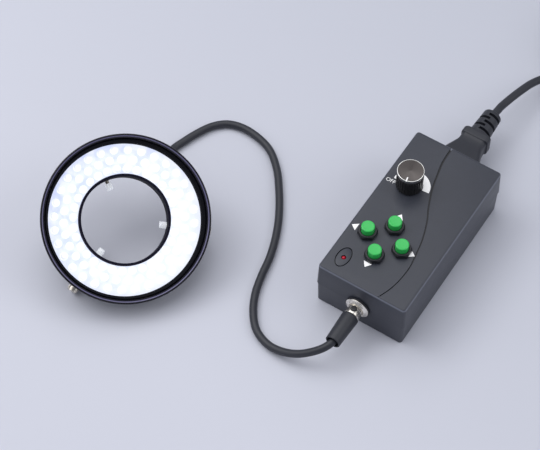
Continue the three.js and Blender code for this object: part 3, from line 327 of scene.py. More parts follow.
# Shader groups that several finishes use.
def shaderGroup(name, inputs, outputs):
    group = bpy.data.node_groups.new(name, "ShaderNodeTree")
    for label, value in inputs:
        entry = group.interface.new_socket(label, in_out="INPUT", socket_type="NodeSocketFloat")
        entry.default_value = value
    for label in outputs:
        group.interface.new_socket(label, in_out="OUTPUT", socket_type="NodeSocketFloat")
    start = group.nodes.new("NodeGroupInput")
    end = group.nodes.new("NodeGroupOutput")
    coordinates = group.nodes.new("ShaderNodeTexCoord")
    return group, start, end, coordinates.outputs["Object"]


def wire(tree, source, target):
    tree.links.new(source, target)


def mathNode(tree, operation, first, second, clamp=False):
    node = tree.nodes.new("ShaderNodeMath")
    node.operation = operation
    node.use_clamp = clamp
    for socketIn, value in zip(node.inputs, (first, second)):
        if hasattr(value, "links"):
            wire(tree, value, socketIn)
        else:
            socketIn.default_value = value
    return node.outputs[0]


def noiseNode(tree, vector, scale, detail=3.0, rough=0.5):
    node = tree.nodes.new("ShaderNodeTexNoise")
    wire(tree, vector, node.inputs["Vector"])
    node.inputs["Detail"].default_value = detail
    node.inputs["Roughness"].default_value = rough
    if hasattr(scale, "links"):
        wire(tree, scale, node.inputs["Scale"])
    else:
        node.inputs["Scale"].default_value = scale
    return node.outputs["Fac"]


def ranged(tree, value, low, high, toLow=0.0, toHigh=1.0):
    node = tree.nodes.new("ShaderNodeMapRange")
    wire(tree, value, node.inputs["Value"])
    for label, number in (("From Min", low), ("From Max", high), ("To Min", toLow), ("To Max", toHigh)):
        node.inputs[label].default_value = number
    return node.outputs["Result"]


def asMask(group, mask, start, end):
    wire(group, mathNode(group, "MULTIPLY", mask, start.outputs["Amount"], True), end.inputs["Mask"])
    return group


texture = {
    "slowScale": 0.11, "slowHeight": 0.5, "grainTone": (0.45, 1.05), "smudge": (0.48, 0.72),
    # stretch and turn of each direction of scratches
    "hairlines": (((1.0, 24.0, 6.0), 0.6), ((22.0, 1.0, 8.0), -0.35)), "hairline": (0.68, 0.74),
    "speck": (0.16, 0.07), "dustyScale": 90.0, "dustyRange": (0.5, 0.66),
}


def makeFineGrain():
    # moulded or blasted skin: a fine noise over a slower one
    group, start, end, place = shaderGroup("fineGrain", [("Scale", 2500.0)], ["Height", "Tone"])
    fine = noiseNode(group, place, start.outputs["Scale"], 4.0, 0.6)
    slow = noiseNode(group, place, mathNode(group, "MULTIPLY", start.outputs["Scale"], texture["slowScale"]),
                     2.0)
    height = mathNode(group, "ADD", fine, mathNode(group, "MULTIPLY", slow, texture["slowHeight"]))
    wire(group, height, end.inputs["Height"])
    wire(group, ranged(group, height, *texture["grainTone"]), end.inputs["Tone"])
    return group


def makeHandling():
    # faint smudges where hands touch
    group, start, end, place = shaderGroup("handling", [("Scale", 60.0), ("Amount", 1.0)], ["Mask"])
    broad = noiseNode(group, place, start.outputs["Scale"], 5.0, 0.6)
    return asMask(group, ranged(group, broad, *texture["smudge"]), start, end)


def makeHairlines():
    # short fine scratches in two directions
    group, start, end, place = shaderGroup("hairlines", [("Scale", 300.0), ("Amount", 1.0)], ["Mask"])
    marks = []
    for stretch, turnBy in texture["hairlines"]:
        mapping = group.nodes.new("ShaderNodeMapping")
        mapping.inputs["Scale"].default_value = stretch
        mapping.inputs["Rotation"].default_value = (0.2, 0.1, turnBy)
        wire(group, place, mapping.inputs["Vector"])
        strand = noiseNode(group, mapping.outputs["Vector"], start.outputs["Scale"], 2.0)
        marks.append(ranged(group, strand, *texture["hairline"]))
    return asMask(group, mathNode(group, "MAXIMUM", *marks), start, end)


def makeDust():
    # sparse pale specks
    group, start, end, place = shaderGroup("dust", [("Scale", 500.0), ("Amount", 1.0)], ["Mask"])
    cells = group.nodes.new("ShaderNodeTexVoronoi")
    wire(group, place, cells.inputs["Vector"])
    wire(group, start.outputs["Scale"], cells.inputs["Scale"])
    speck = ranged(group, cells.outputs["Distance"], *texture["speck"])
    thin = ranged(group, noiseNode(group, place, texture["dustyScale"], 3.0), *texture["dustyRange"])
    return asMask(group, mathNode(group, "MULTIPLY", speck, thin), start, end)


groups = {
    "fineGrain": makeFineGrain(), "handling": makeHandling(), "hairlines": makeHairlines(),
    "dust": makeDust(),
}


def groupNode(tree, kind, **values):
    node = tree.nodes.new("ShaderNodeGroup")
    node.node_tree = groups[kind]
    for label, value in values.items():
        node.inputs[label.capitalize()].default_value = value
    return node


def mixColour(tree, factor, first, second):
    node = tree.nodes.new("ShaderNodeMix")
    node.data_type = "RGBA"
    wire(tree, factor, node.inputs["Factor"])
    for socketIn, value in ((node.inputs[6], first), (node.inputs[7], second)):
        if hasattr(value, "links"):
            wire(tree, value, socketIn)
        else:
            socketIn.default_value = value
    return node.outputs[2]


wear = {
    "roughSwing": 0.04, "paler": 1.5, "lift": 0.02, "handledRough": 0.5, "scratchedRough": 0.3,
    "dustyRough": 0.4, "dustScale": 420.0, "dust": (176, 178, 184), "bump": 0.6,
}


def finish(name, colour, roughness, grain=(2500.0, 0.02, 0.1), handled=(60.0, 0.1),
           scratched=(300.0, 0.0), dusty=0.0, fixed=None):
    # grain is scale, height in millimetres and share of tone, handled and scratched are scale and amount
    material = bpy.data.materials.new(name)
    material.use_nodes = True
    tree = material.node_tree
    shader = tree.nodes["Principled BSDF"]
    for label, value in (fixed or {}).items():
        shader.inputs[label].default_value = value
    base = displayColour(*colour)

    def lit(share, lift=0.0):
        return (*[min(c * share + lift, 1.0) for c in base[:3]], 1.0)

    skin = groupNode(tree, "fineGrain", scale=grain[0])
    swing = wear["roughSwing"]
    tone = mixColour(tree, skin.outputs["Tone"], lit(1 - grain[2]), lit(1 + grain[2]))
    rough = ranged(tree, skin.outputs["Tone"], 0, 1, roughness - swing, roughness + swing)
    worn = lit(wear["paler"], wear["lift"])
    for kind, (scale, amount), colourOver, rougher in (
        ("handling", handled, worn, wear["handledRough"]),
        ("hairlines", scratched, worn, wear["scratchedRough"]),
        ("dust", (wear["dustScale"], dusty), displayColour(*wear["dust"]), wear["dustyRough"]),
    ):
        if amount:
            mask = groupNode(tree, kind, scale=scale, amount=amount).outputs["Mask"]
            tone = mixColour(tree, mask, tone, colourOver)
            rough = mathNode(tree, "ADD", rough, mathNode(tree, "MULTIPLY", mask, rougher))
    wire(tree, tone, shader.inputs["Base Color"])
    wire(tree, rough, shader.inputs["Roughness"])
    bump = tree.nodes.new("ShaderNodeBump")
    bump.inputs["Strength"].default_value = wear["bump"]
    bump.inputs["Distance"].default_value = grain[1] * mm
    wire(tree, skin.outputs["Height"], bump.inputs["Height"])
    wire(tree, bump.outputs["Normal"], shader.inputs["Normal"])
    return material


def overlay(material, mask, colour):
    # lays a second colour over a finish's own tone, here the painted highlights and painted shade
    tree = material.node_tree
    base = tree.nodes["Principled BSDF"].inputs["Base Color"]
    wire(tree, mixColour(tree, mask, base.links[0].from_socket, displayColour(*colour)), base)


caseFinish = finish("slateCase", (55, 58, 68), 0.37, (1900.0, 0.03, 0.1), (45.0, 0.05), (260.0, 0.06))
anodisedFinish = finish("blackAnodised", (19, 19, 27), 0.3, (3200.0, 0.006, 0.14), (70.0, 0.06),
                        (420.0, 0.12), fixed={"Metallic": 0.3})
# The case: a painted highlight, a paler sheen, on its top rounding, and painted shade darkening the walls in
# the panel's grooves.
casePaintedLight = {
    "edges": (("X", 32.1), ("Y", 65.3)), "edgeFade": 0.3,
    # a band's heights: where it starts and is full, where it ends and is still full; then its share
    "paintedSheenBand": (41.3, 42.2, 42.99, 42.75, 0.7), "paintedSheen": (126, 130, 144),
    "grooveBand": (41.0, 41.2, 42.99, 42.93, 0.85), "groove": (8, 8, 10),
}
caseTree = caseFinish.node_tree
caseAxes = caseTree.nodes.new("ShaderNodeSeparateXYZ")
wire(caseTree, caseTree.nodes.new("ShaderNodeTexCoord").outputs["Object"], caseAxes.inputs["Vector"])


def heightBand(start, full, end, lastFull, share):
    height = caseAxes.outputs["Z"]
    return mathNode(caseTree, "MULTIPLY", ranged(caseTree, height, start * mm, full * mm),
                    ranged(caseTree, height, end * mm, lastFull * mm, 0.0, share))


nearEdge = mathNode(caseTree, "MAXIMUM", *[
    ranged(caseTree, mathNode(caseTree, "ABSOLUTE", caseAxes.outputs[axis], 0.0),
           near * mm, (near + casePaintedLight["edgeFade"]) * mm)
    for axis, near in casePaintedLight["edges"]
])
inland = mathNode(caseTree, "SUBTRACT", 1.0, nearEdge)
# the painted highlight goes near the outline, the painted shade of the grooves away from it
for area, kind in ((nearEdge, "paintedSheen"), (inland, "groove")):
    mask = mathNode(caseTree, "MULTIPLY", area, heightBand(*casePaintedLight[kind + "Band"]))
    overlay(caseFinish, mask, casePaintedLight[kind])

rimFinish = finish("glossRim", (13, 12, 24), 0.24, (3200.0, 0.003, 0.1), (70.0, 0.04), (420.0, 0.06),
                   fixed={"Specular IOR Level": 0.35, "Coat Weight": 0.15, "Coat Roughness": 0.1})
# The rim: a painted highlight, a thin paler line where its front slope meets the rounding.
rimPaintedHighlight = {"rise": (56.9, 57.3), "fall": (57.95, 57.55), "share": 0.9, "colour": (116, 113, 148)}
rimTree = rimFinish.node_tree
rimReach = rimTree.nodes.new("ShaderNodeAttribute")
rimReach.attribute_name = "rimRadius"
overlay(rimFinish, mathNode(
    rimTree, "MULTIPLY", ranged(rimTree, rimReach.outputs["Fac"], *rimPaintedHighlight["rise"]),
    ranged(rimTree, rimReach.outputs["Fac"], *rimPaintedHighlight["fall"], 0.0, rimPaintedHighlight["share"])), rimPaintedHighlight["colour"])

collarFinish = finish("darkCollar", (24, 23, 38), 0.6, (3000.0, 0.006, 0.1), (60.0, 0.02),
                      fixed={"Specular IOR Level": 0.3, "IOR": 1.2})
bandFinish = finish("mattBand", (7, 7, 12), 0.7, (2600.0, 0.006, 0.12), (50.0, 0.02),
                    fixed={"Specular IOR Level": 0.2, "IOR": 1.12})
plasticFinish = finish("blackMoulding", (34, 35, 40), 0.42, (2200.0, 0.02, 0.12), (60.0, 0.08),
                       (300.0, 0.15), 0.3)
knobFinish = finish("glossKnob", (24, 22, 22), 0.2, (2600.0, 0.004, 0.1), (80.0, 0.05), (500.0, 0.1),
                    fixed={"Specular IOR Level": 0.7})
rubberFinish = finish("cordRubber", (44, 46, 54), 0.46, (1500.0, 0.02, 0.1), (40.0, 0.06), (240.0, 0.05))
chromeFinish = finish("chromePlate", (222, 221, 218), 0.1, (2600.0, 0.002, 0.03), (120.0, 0.06),
                      (700.0, 0.2), fixed={"Metallic": 1.0})
nickelFinish = finish("nickelPlate", (216, 211, 204), 0.26, (2400.0, 0.006, 0.08), (150.0, 0.15),
                      (600.0, 0.3), fixed={"Metallic": 1.0})
satinFinish = finish("satinNickel", (240, 235, 226), 0.24, (2600.0, 0.003, 0.04), (120.0, 0.08),
                     (700.0, 0.15), fixed={"Metallic": 1.0})
darkChrome = finish("darkChrome", (92, 90, 92), 0.16, (2600.0, 0.002, 0.04), (120.0, 0.05),
                    fixed={"Metallic": 1.0})
steelFinish = finish("zincSteel", (188, 190, 194), 0.34, (1800.0, 0.008, 0.1), (120.0, 0.15),
                     (500.0, 0.25), fixed={"Metallic": 1.0})
greenFinish = finish("greenCap", (50, 196, 90), 0.3, (2600.0, 0.012, 0.06), (160.0, 0.06),
                     (700.0, 0.12), fixed={"Coat Weight": 0.15, "Coat Roughness": 0.2})
# The print's faint glow is painted light that brightens it.
printFinish = finish("whitePrint", (252, 252, 253), 0.5, (3000.0, 0.006, 0.03), (200.0, 0.03),
                     fixed={"Emission Color": (1.0, 1.0, 1.0, 1.0), "Emission Strength": 0.18})
# The tips' faint glow is painted light, standing in for the LEDs' light within them.
nylonFinish = finish("milkyNylon", (248, 250, 253), 0.28, (1800.0, 0.006, 0.03), (120.0, 0.04),
                     fixed={"Transmission Weight": 0.45, "IOR": 1.45, "Emission Strength": 0.2,
                            "Emission Color": (0.9, 0.93, 1.0, 1.0)})
lampFinish = finish("redLens", (214, 18, 52), 0.12, (1200.0, 0.004, 0.05), (200.0, 0.05),
                    fixed={"Transmission Weight": 0.3, "IOR": 1.5})
bronzeFinish = finish("spunBronze", (104, 99, 97), 0.34, (2600.0, 0.003, 0.06), (90.0, 0.06),
                      (600.0, 0.1), fixed={"Metallic": 1.0, "Anisotropic": 0.8})
circuitFinish = finish("solderMask", (26, 86, 56), 0.4, (1500.0, 0.01, 0.15), (100.0, 0.1))
tapeFinish = finish("windingTape", (206, 172, 62), 0.5, (900.0, 0.03, 0.12), (80.0, 0.1))
sleeveFinish = finish("capacitorSleeve", (34, 46, 78), 0.35, (1200.0, 0.01, 0.1), (80.0, 0.1))


def makeFloorFinish():
    material = bpy.data.materials.new("paleFloor")
    material.use_nodes = True
    tree = material.node_tree
    mapping = tree.nodes.new("ShaderNodeMapping")
    mapping.inputs["Rotation"].default_value = (0, 0, math.radians(camera["yaw"]))
    wire(tree, tree.nodes.new("ShaderNodeTexCoord").outputs["Object"], mapping.inputs["Vector"])
    split = tree.nodes.new("ShaderNodeSeparateXYZ")
    wire(tree, mapping.outputs["Vector"], split.inputs["Vector"])
    # painted shade: the floor darkens towards the right and the far side of the view
    across = ranged(tree, mathNode(tree, "ADD", split.outputs["X"], split.outputs["Y"]), *studio["fade"])
    shader = tree.nodes["Principled BSDF"].inputs
    wire(tree, mixColour(tree, across, displayColour(*studio["floorColour"]),
                         displayColour(*studio["farShadedColour"])), shader["Base Color"])
    shader["Roughness"].default_value = studio["floorRough"]
    shader["Specular IOR Level"].default_value = studio["floorShine"]
    return material


floorMesh = bpy.data.meshes.new("paleFloor")
floorHalf = studio["floorSize"] / 2
floorMesh.from_pydata(
    [(x * floorHalf, y * floorHalf, -studio["floorDrop"]) for x, y in ((-1, -1), (1, -1), (1, 1), (-1, 1))],
    [], [(0, 1, 2, 3)],
)
floor = link(bpy.data.objects.new("paleFloor", floorMesh))
floor.data.materials.append(makeFloorFinish())
for cord in (leadCord, mainsCord):
    cord.data.materials.append(rubberFinish)
print("camera, cords, lights and finishes made")


# Shapes.
overshoot = 4  # how far a cutter runs past what it cuts
quarterTurn = [math.radians(angle) for angle in range(0, 91, 15)]


def soften(corners, closed=True, steps=4):
    # rounds the corners that have a third number, their radius
    count = len(corners)
    outline = []
    for i, corner in enumerate(corners):
        radius = corner[2] if len(corner) > 2 else 0
        point = Vector(corner[:2])
        if not radius or (not closed and i in (0, count - 1)):
            outline.append(tuple(point))
            continue
        before = Vector(corners[i - 1][:2]) - point
        after = Vector(corners[(i + 1) % count][:2]) - point
        halfAngle = before.angle(after) / 2
        reach = min(radius / math.tan(halfAngle), before.length * 0.49, after.length * 0.49)
        radius = reach * math.tan(halfAngle)
        before.normalize()
        after.normalize()
        centre = point + (before + after).normalized() * (radius / math.sin(halfAngle))
        first, last = point + before * reach - centre, point + after * reach - centre
        for step in range(steps + 1):
            outline.append(tuple(centre + first.lerp(last, step / steps).normalized() * radius))
    return outline


def pieceFrom(name, points, faces, material, place=None, sharp=32.0):
    matrix = place or Matrix.Identity(4)
    mesh = bpy.data.meshes.new(name)
    mesh.from_pydata([tuple((matrix @ Vector(p)) * mm) for p in points], [], faces)
    mesh.materials.append(material)
    piece = link(bpy.data.objects.new(name, mesh))
    tidyMesh(piece, sharp)
    return piece


def atHeight(ring, height):
    return [(x, y, height) for x, y in ring]


def circle(radius, sides, x=0.0, y=0.0):
    angles = [2 * math.pi * i / sides for i in range(sides)]
    return [(x + radius * math.cos(a), y + radius * math.sin(a)) for a in angles]


def lathe(name, outline, material, sides=128, place=None, sharp=32.0):
    # an outline of radius and height, closed on itself or on the axis
    points, rings, faces = [], [], []
    for radius, height in outline:
        level = atHeight(circle(radius, sides), height) if radius > 1e-6 else [(0, 0, height)]
        rings.append(range(len(points), len(points) + len(level)))
        points += level
    for one, other in zip(rings, rings[1:] + rings[:1]):
        if len(one) == 1 and len(other) == 1:
            continue
        for i in range(sides):
            j = (i + 1) % sides
            corners = [ring[k % len(ring)] for ring, k in ((one, i), (one, j), (other, j), (other, i))]
            faces.append(tuple(dict.fromkeys(corners)))
    return pieceFrom(name, points, faces, material, place, sharp)


def loft(name, rings, material, place=None, sharp=32.0):
    count = len(rings[0])
    points = [p for ring in rings for p in ring]
    faces = [tuple(reversed(range(count))), tuple(range(len(points) - count, len(points)))]
    for first in range(0, len(points) - count, count):
        for i in range(count):
            a, b = first + i, first + (i + 1) % count
            faces.append((a, b, b + count, a + count))
    return pieceFrom(name, points, faces, material, place, sharp)


def prism(name, ring, low, high, material, place=None):
    return loft(name, [atHeight(ring, low), atHeight(ring, high)], material, place)


def column(name, radius, low, high, x=0.0, y=0.0, sides=48, place=None):
    return prism(name, circle(radius, sides, x, y), low, high, plasticFinish, place)


def columnsAt(places, name, radius, low, high, sides=48):
    return [column(name, radius, low, high, x, y, sides) for x, y in places]


def ringRectangle(width, length, corner, steps=8):
    ring = []
    for quarter, (sx, sy) in enumerate(((1, 1), (-1, 1), (-1, -1), (1, -1))):
        for i in range(steps + 1):
            angle = (quarter + i / steps) * math.pi / 2
            ring.append((
                sx * (width / 2 - corner) + corner * math.cos(angle),
                sy * (length / 2 - corner) + corner * math.sin(angle),
            ))
    return ring


def applyModifiers(piece):
    evaluated = piece.evaluated_get(bpy.context.evaluated_depsgraph_get())
    mesh = bpy.data.meshes.new_from_object(evaluated)
    piece.modifiers.clear()
    old = piece.data
    piece.data = mesh
    mesh.name = old.name
    bpy.data.meshes.remove(old)


def combine(piece, operation, others, sharp=32.0):
    for other in others:
        step = piece.modifiers.new("combine", "BOOLEAN")
        step.operation = operation
        step.solver = "EXACT"
        step.object = other
    applyModifiers(piece)
    for other in others:
        bpy.data.objects.remove(other)
    tidyMesh(piece, sharp)
    return piece


def belongs(piece, body, slot, *replaced):
    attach(piece, body)
    if replaced:
        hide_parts(*replaced)
    return piece


def vertexNumbers(piece, name, measure):
    # a number on each vertex, for the finishes that read it
    numbers = piece.data.attributes.new(name, "FLOAT", "POINT")
    for number, vertex in zip(numbers.data, piece.data.vertices):
        number.value = measure(vertex.co / mm)


# Rows of one shape round an axis, for whatever repeats on a circle.
def makeRowsTree():
    tree = bpy.data.node_groups.new("rowsRoundAxis", "GeometryNodeTree")
    face = tree.interface
    face.new_socket("Geometry", in_out="INPUT", socket_type="NodeSocketGeometry")
    for label, kind in (
        ("Piece", "Object"), ("Finish", "Material"), ("Rows", "Int"), ("Count", "Int"), ("Radius", "Float"),
        ("Pitch", "Float"), ("First Angle", "Float"), ("Stagger", "Float"),
    ):
        face.new_socket(label, in_out="INPUT", socket_type="NodeSocket" + kind)
    face.new_socket("Geometry", in_out="OUTPUT", socket_type="NodeSocketGeometry")
    start = tree.nodes.new("NodeGroupInput")
    end = tree.nodes.new("NodeGroupOutput")

    def given(label):
        return start.outputs[label]

    def worked(operation, first, second=0.0):
        return mathNode(tree, operation, first, second)

    def joined(kind, output, **sources):
        node = tree.nodes.new(kind)
        for label, source in sources.items():
            wire(tree, source, node.inputs[label])
        return node.outputs[output]

    index = joined("GeometryNodeInputIndex", "Index")
    row = worked("FLOOR", worked("DIVIDE", worked("ADD", index, 0.5), given("Count")))
    shift = worked("MULTIPLY", worked("MODULO", row, 2.0), given("Stagger"))
    share = worked("DIVIDE", worked("ADD", index, shift), given("Count"))
    angle = worked("ADD", worked("MULTIPLY", share, 2 * math.pi), given("First Angle"))
    reach = worked("ADD", given("Radius"), worked("MULTIPLY", row, given("Pitch")))
    place = joined("ShaderNodeCombineXYZ", "Vector", X=worked("MULTIPLY", reach, worked("COSINE", angle)),
                   Y=worked("MULTIPLY", reach, worked("SINE", angle)))
    dots = joined("GeometryNodePoints", 0, Count=worked("MULTIPLY", given("Rows"), given("Count")),
                  Position=place)
    spread = joined("GeometryNodeInstanceOnPoints", "Instances", Points=dots,
                    Instance=joined("GeometryNodeObjectInfo", "Geometry", Object=given("Piece")),
                    Rotation=joined("ShaderNodeCombineXYZ", "Vector", Z=angle))
    solid = joined("GeometryNodeRealizeInstances", "Geometry", Geometry=spread)
    painted = joined("GeometryNodeSetMaterial", "Geometry", Geometry=solid, Material=given("Finish"))
    wire(tree, painted, end.inputs["Geometry"])
    return tree


rowsTree = makeRowsTree()


def treeInput(tree, label):
    return next(
        item.identifier for item in tree.interface.items_tree
        if item.item_type == "SOCKET" and item.in_out == "INPUT" and item.name == label
    )


def rowsRound(name, seed, material, count, radius, place, rows=1, pitch=0.0, firstAngle=0.0,
              stagger=0.0, sharp=32.0):
    # seed is placed at its radius by the tree, so it is made round the origin
    holder = link(bpy.data.objects.new(name, bpy.data.meshes.new(name)))
    step = holder.modifiers.new("rows", "NODES")
    step.node_group = rowsTree
    for label, value in (
        ("Piece", seed), ("Finish", material), ("Rows", rows), ("Count", count),
        ("Radius", radius * mm), ("Pitch", pitch * mm), ("First Angle", math.radians(firstAngle)),
        ("Stagger", stagger),
    ):
        step[treeInput(rowsTree, label)] = value
    applyModifiers(holder)
    bpy.data.objects.remove(seed)
    holder.data.transform(inMetres(place))
    holder.data.shade_smooth()
    holder.data.set_sharp_from_angle(angle=math.radians(sharp))
    return holder


# Lamp head.
depth = lampHead["bodyDepth"]
bodyRadius = lampHead["bodyRadius"]
wallInner = bodyRadius - lampHead["bodyWall"]
ledgeInner = wallInner - lampHead["ledge"]
plateOpening = lampHead["sleeveRadius"] + box["gap"]
plateFront = lampHead["plate"] - depth
ledgeFront = plateFront + lampHead["ledgeHeight"]
housing = lathe("ringHousing", soften([
    (bodyRadius, -lampHead["shellFront"], 0.2), (bodyRadius, lampHead["rearChamfer"] - depth, 0.5),
    (rearEdge, -depth, 0.5), (plateOpening, -depth, 0.2), (plateOpening, plateFront, 0.2),
    (ledgeInner, plateFront), (ledgeInner, ledgeFront), (wallInner, ledgeFront),
    (wallInner, -lampHead["shellFront"], 0.2),
]), anodisedFinish, 192, headPlace)
belongs(housing, "base", "anodised", "ring_housing")

rim = {
    "radius": 59.1, "width": 3.0, "round": 1.0, "seat": 4.2, "depth": 6.5, "inset": 1.5,
    "insetRound": 1.1, "slope": 1.6, "gap": 0.3,
}
rimInner = rim["radius"] - rim["width"]
rimSeat = bodyRadius + rim["gap"]
bezel = lathe("rimRing", soften([
    (rimInner, -rim["slope"], 0.3), (rimInner + rim["inset"], 0, rim["insetRound"]),
    (rim["radius"], 0, rim["round"]), (rim["radius"], -rim["depth"], 0.3),
    (rimSeat, -rim["depth"], 0.1), (rimSeat, -rim["seat"]), (rimInner, -rim["seat"]),
], steps=8), rimFinish, 192, headPlace)
vertexNumbers(bezel, "rimRadius", lambda point: (headPlace.inverted() @ point).xy.length)
belongs(bezel, "base", "anodised", "bezel_ring")

band = {"front": 1.6, "lip": 0.5, "inner": 53.4, "gap": 0.3}
led = {
    "radius": 2.5, "height": 8.4, "tip": 9.0, "rows": 3, "perRow": 32, "firstRow": 35.7, "pitch": 6.75,
    "firstAngle": -4.75, "flange": 2.9, "flangeHeight": 1.0, "sunk": 0.2, "board": 1.2,
    "boardOuter": 55.1, "boardReach": 2.0,
}
boardFront = led["tip"] + led["height"]
bandOuter = wallInner - band["gap"]
bandRear = band["gap"] - boardFront
bandRing = lathe("clampBand", soften([
    (bandOuter - band["lip"], -band["front"], 0.2), (bandOuter, -band["front"], 0.15),
    (bandOuter, bandRear), (band["inner"], bandRear), (band["inner"], -led["tip"], 0.8),
]), bandFinish, 192, headPlace)
belongs(bandRing, "base", "black_plastic", "retaining_ring")

glow = {
    "rough": 0.25, "wanderScale": 90.0, "wander": 0.3, "flow": (0.45, 1.15),
    "patchScale": 130.0, "patchRange": (0.38, 0.62, 0.25, 1.0), "patchFrom": 40, "patchTo": -50,
    "patchLeast": 0.3,
}


def makeGlow(name, colour, middle, edge, deep, strength):
    # the light runs from middle to edge by how far a point lies from its dome's axis,
    # and the edge's light falls off in patches towards the head's left side
    material = finish(name, colour, glow["rough"], (900.0, 0.004, 0.04), (300.0, 0.05))
    tree = material.node_tree
    shader = tree.nodes["Principled BSDF"].inputs
    place = tree.nodes.new("ShaderNodeTexCoord").outputs["Object"]
    uneven = mathNode(tree, "MULTIPLY", noiseNode(tree, place, glow["wanderScale"], 2.0), glow["wander"])
    reach = tree.nodes.new("ShaderNodeAttribute")
    reach.attribute_name = "domeReach"
    flow = ranged(tree, mathNode(tree, "ADD", reach.outputs["Fac"], uneven), *glow["flow"])
    across = tree.nodes.new("ShaderNodeSeparateXYZ")
    wire(tree, place, across.inputs["Vector"])
    start, end = [(headPlace.translation.x + glow[label]) * mm for label in ("patchFrom", "patchTo")]
    patches = mathNode(
        tree, "MULTIPLY", ranged(tree, across.outputs["X"], start, end, glow["patchLeast"], 1.0),
        ranged(tree, noiseNode(tree, place, glow["patchScale"], 2.0), *glow["patchRange"]))
    outer = mixColour(tree, patches, displayColour(*edge), displayColour(*deep))
    wire(tree, mixColour(tree, flow, displayColour(*middle), outer), shader["Emission Color"])
    shader["Emission Strength"].default_value = strength
    return material


ledGlow = makeGlow("ledGlow", (140, 145, 160), (255, 255, 255), (249, 251, 255), (216, 223, 249), 0.98)
# The board is no lamp: its glow is painted light, the LEDs' light scattered over it.
boardPaintedGlow = makeGlow("litBoard", (120, 127, 148), (246, 249, 255), (246, 249, 255), (204, 213, 246),
                     0.94)
boardRear = -boardFront - led["board"]
board = lathe("ledBoard", soften([
    (plateOpening, -boardFront, 0.1), (led["boardOuter"], -boardFront, 0.1),
    (led["boardOuter"], boardRear), (plateOpening, boardRear),
]), boardPaintedGlow, 128, headPlace)
vertexNumbers(board, "domeReach", lambda point: led["boardReach"])
domeShoulder = -led["tip"] - led["radius"]
flangeFront = led["flangeHeight"] - boardFront
ledRear = -boardFront - led["sunk"]
ledSeed = lathe("ledSeed", [
    (0, -led["tip"]),
    *[(led["radius"] * math.sin(a), domeShoulder + led["radius"] * math.cos(a)) for a in quarterTurn[1:]],
    (led["radius"], flangeFront), (led["flange"], flangeFront), (led["flange"], ledRear), (0, ledRear),
], ledGlow, 16)
vertexNumbers(ledSeed, "domeReach", lambda point: point.xy.length / led["radius"])
ledField = rowsRound("ledField", ledSeed, ledGlow, led["perRow"], led["firstRow"], headPlace,
                     rows=led["rows"], pitch=led["pitch"], firstAngle=led["firstAngle"], stagger=0.5)
belongs(board, "base", "led_white", "led_board")
belongs(ledField, "base", "led_white")

collarScrew = {
    "angles": (40, 160, 280), "head": 2.1, "headLength": 1.8, "pocket": 2.4, "shank": 1.25,
    "socket": 1.1, "socketDepth": 1.0, "end": 19.8, "gap": 0.3, "play": 0.07,
}
thumb = {
    "angles": (100, -20, -140), "reach": (23.2, 25.2, 25.2), "length": 36.8, "shank": 1.5,
    "headLength": 9.0, "head": 3.7, "chamfer": 0.6, "dish": 1.6, "dishFloor": 1.3, "dishDepth": 0.35,
    "ribs": 36, "ribHeight": 0.3, "ribHalf": 0.27, "ribTip": 0.02, "ribRoot": 0.2,
    "shoulder": 2.6, "shoulderLength": 1.4, "pitch": 0.5, "threadDepth": 0.28, "threadStop": 0.6,
    "cap": 2.4, "capLength": 5.0, "capFloor": 1.2, "capPlay": 0.07, "gap": 0.3, "play": 0.17,
}
boreRadius, neckRadius = lampHead["boreRadius"], lampHead["neckRadius"]
neckDepth = lampHead["neckDepth"]
neckFront = depth + box["gap"]
screwCircle = (boreRadius + neckRadius) / 2
thumbDepth = (depth + neckDepth) / 2


def thumbPlace(angle):
    # local Z runs out along a thumbscrew
    return Matrix.Translation((0, 0, -thumbDepth)) @ spun(angle, "Z") @ spun(90, "Y")


collar = lathe("mountCollar", soften([
    (boreRadius, -lampHead["sleeveFront"], 0.25), (lampHead["sleeveRadius"], -lampHead["sleeveFront"], 0.25),
    (lampHead["sleeveRadius"], -neckFront), (neckRadius, -neckFront, 0.15),
    (neckRadius, -neckDepth, 0.8), (boreRadius, -neckDepth, 0.4),
]), collarFinish, 160)
cutters = []
for angle in collarScrew["angles"]:
    x, y = screwCircle * math.cos(math.radians(angle)), screwCircle * math.sin(math.radians(angle))
    cutters.append(column("pocket", collarScrew["head"] + collarScrew["gap"], -neckDepth - overshoot,
                          collarScrew["pocket"] - neckDepth, x, y, 32))
    cutters.append(column("hole", collarScrew["shank"] + collarScrew["play"], -neckDepth,
                          overshoot - neckFront, x, y, 24))
for angle in thumb["angles"]:
    cutters.append(column("hole", thumb["shank"] + thumb["play"], boreRadius - overshoot,
                          neckRadius + overshoot, sides=32, place=thumbPlace(angle)))
combine(collar, "DIFFERENCE", cutters)
collar.data.transform(inMetres(headPlace))
belongs(collar, "base", "anodised", "mount_collar")

screwRear = collarScrew["pocket"] - collarScrew["gap"] - collarScrew["headLength"] - neckDepth
screwSeat = screwRear + collarScrew["headLength"]
socketFloor = screwRear + collarScrew["socketDepth"]
screwSeed = lathe("screwSeed", soften([
    (0, socketFloor), (collarScrew["socket"], socketFloor), (collarScrew["socket"], screwRear),
    (collarScrew["head"], screwRear, 0.3), (collarScrew["head"], screwSeat, 0.1),
    (collarScrew["shank"], screwSeat), (collarScrew["shank"], -collarScrew["end"], 0.2),
    (0, -collarScrew["end"]),
], False), steelFinish, 24)
collarScrews = rowsRound("collarScrews", screwSeed, steelFinish, 3, screwCircle, headPlace,
                         firstAngle=collarScrew["angles"][0])
belongs(collarScrews, "base", "steel", "collar_screw_1", "collar_screw_2", "collar_screw_3")

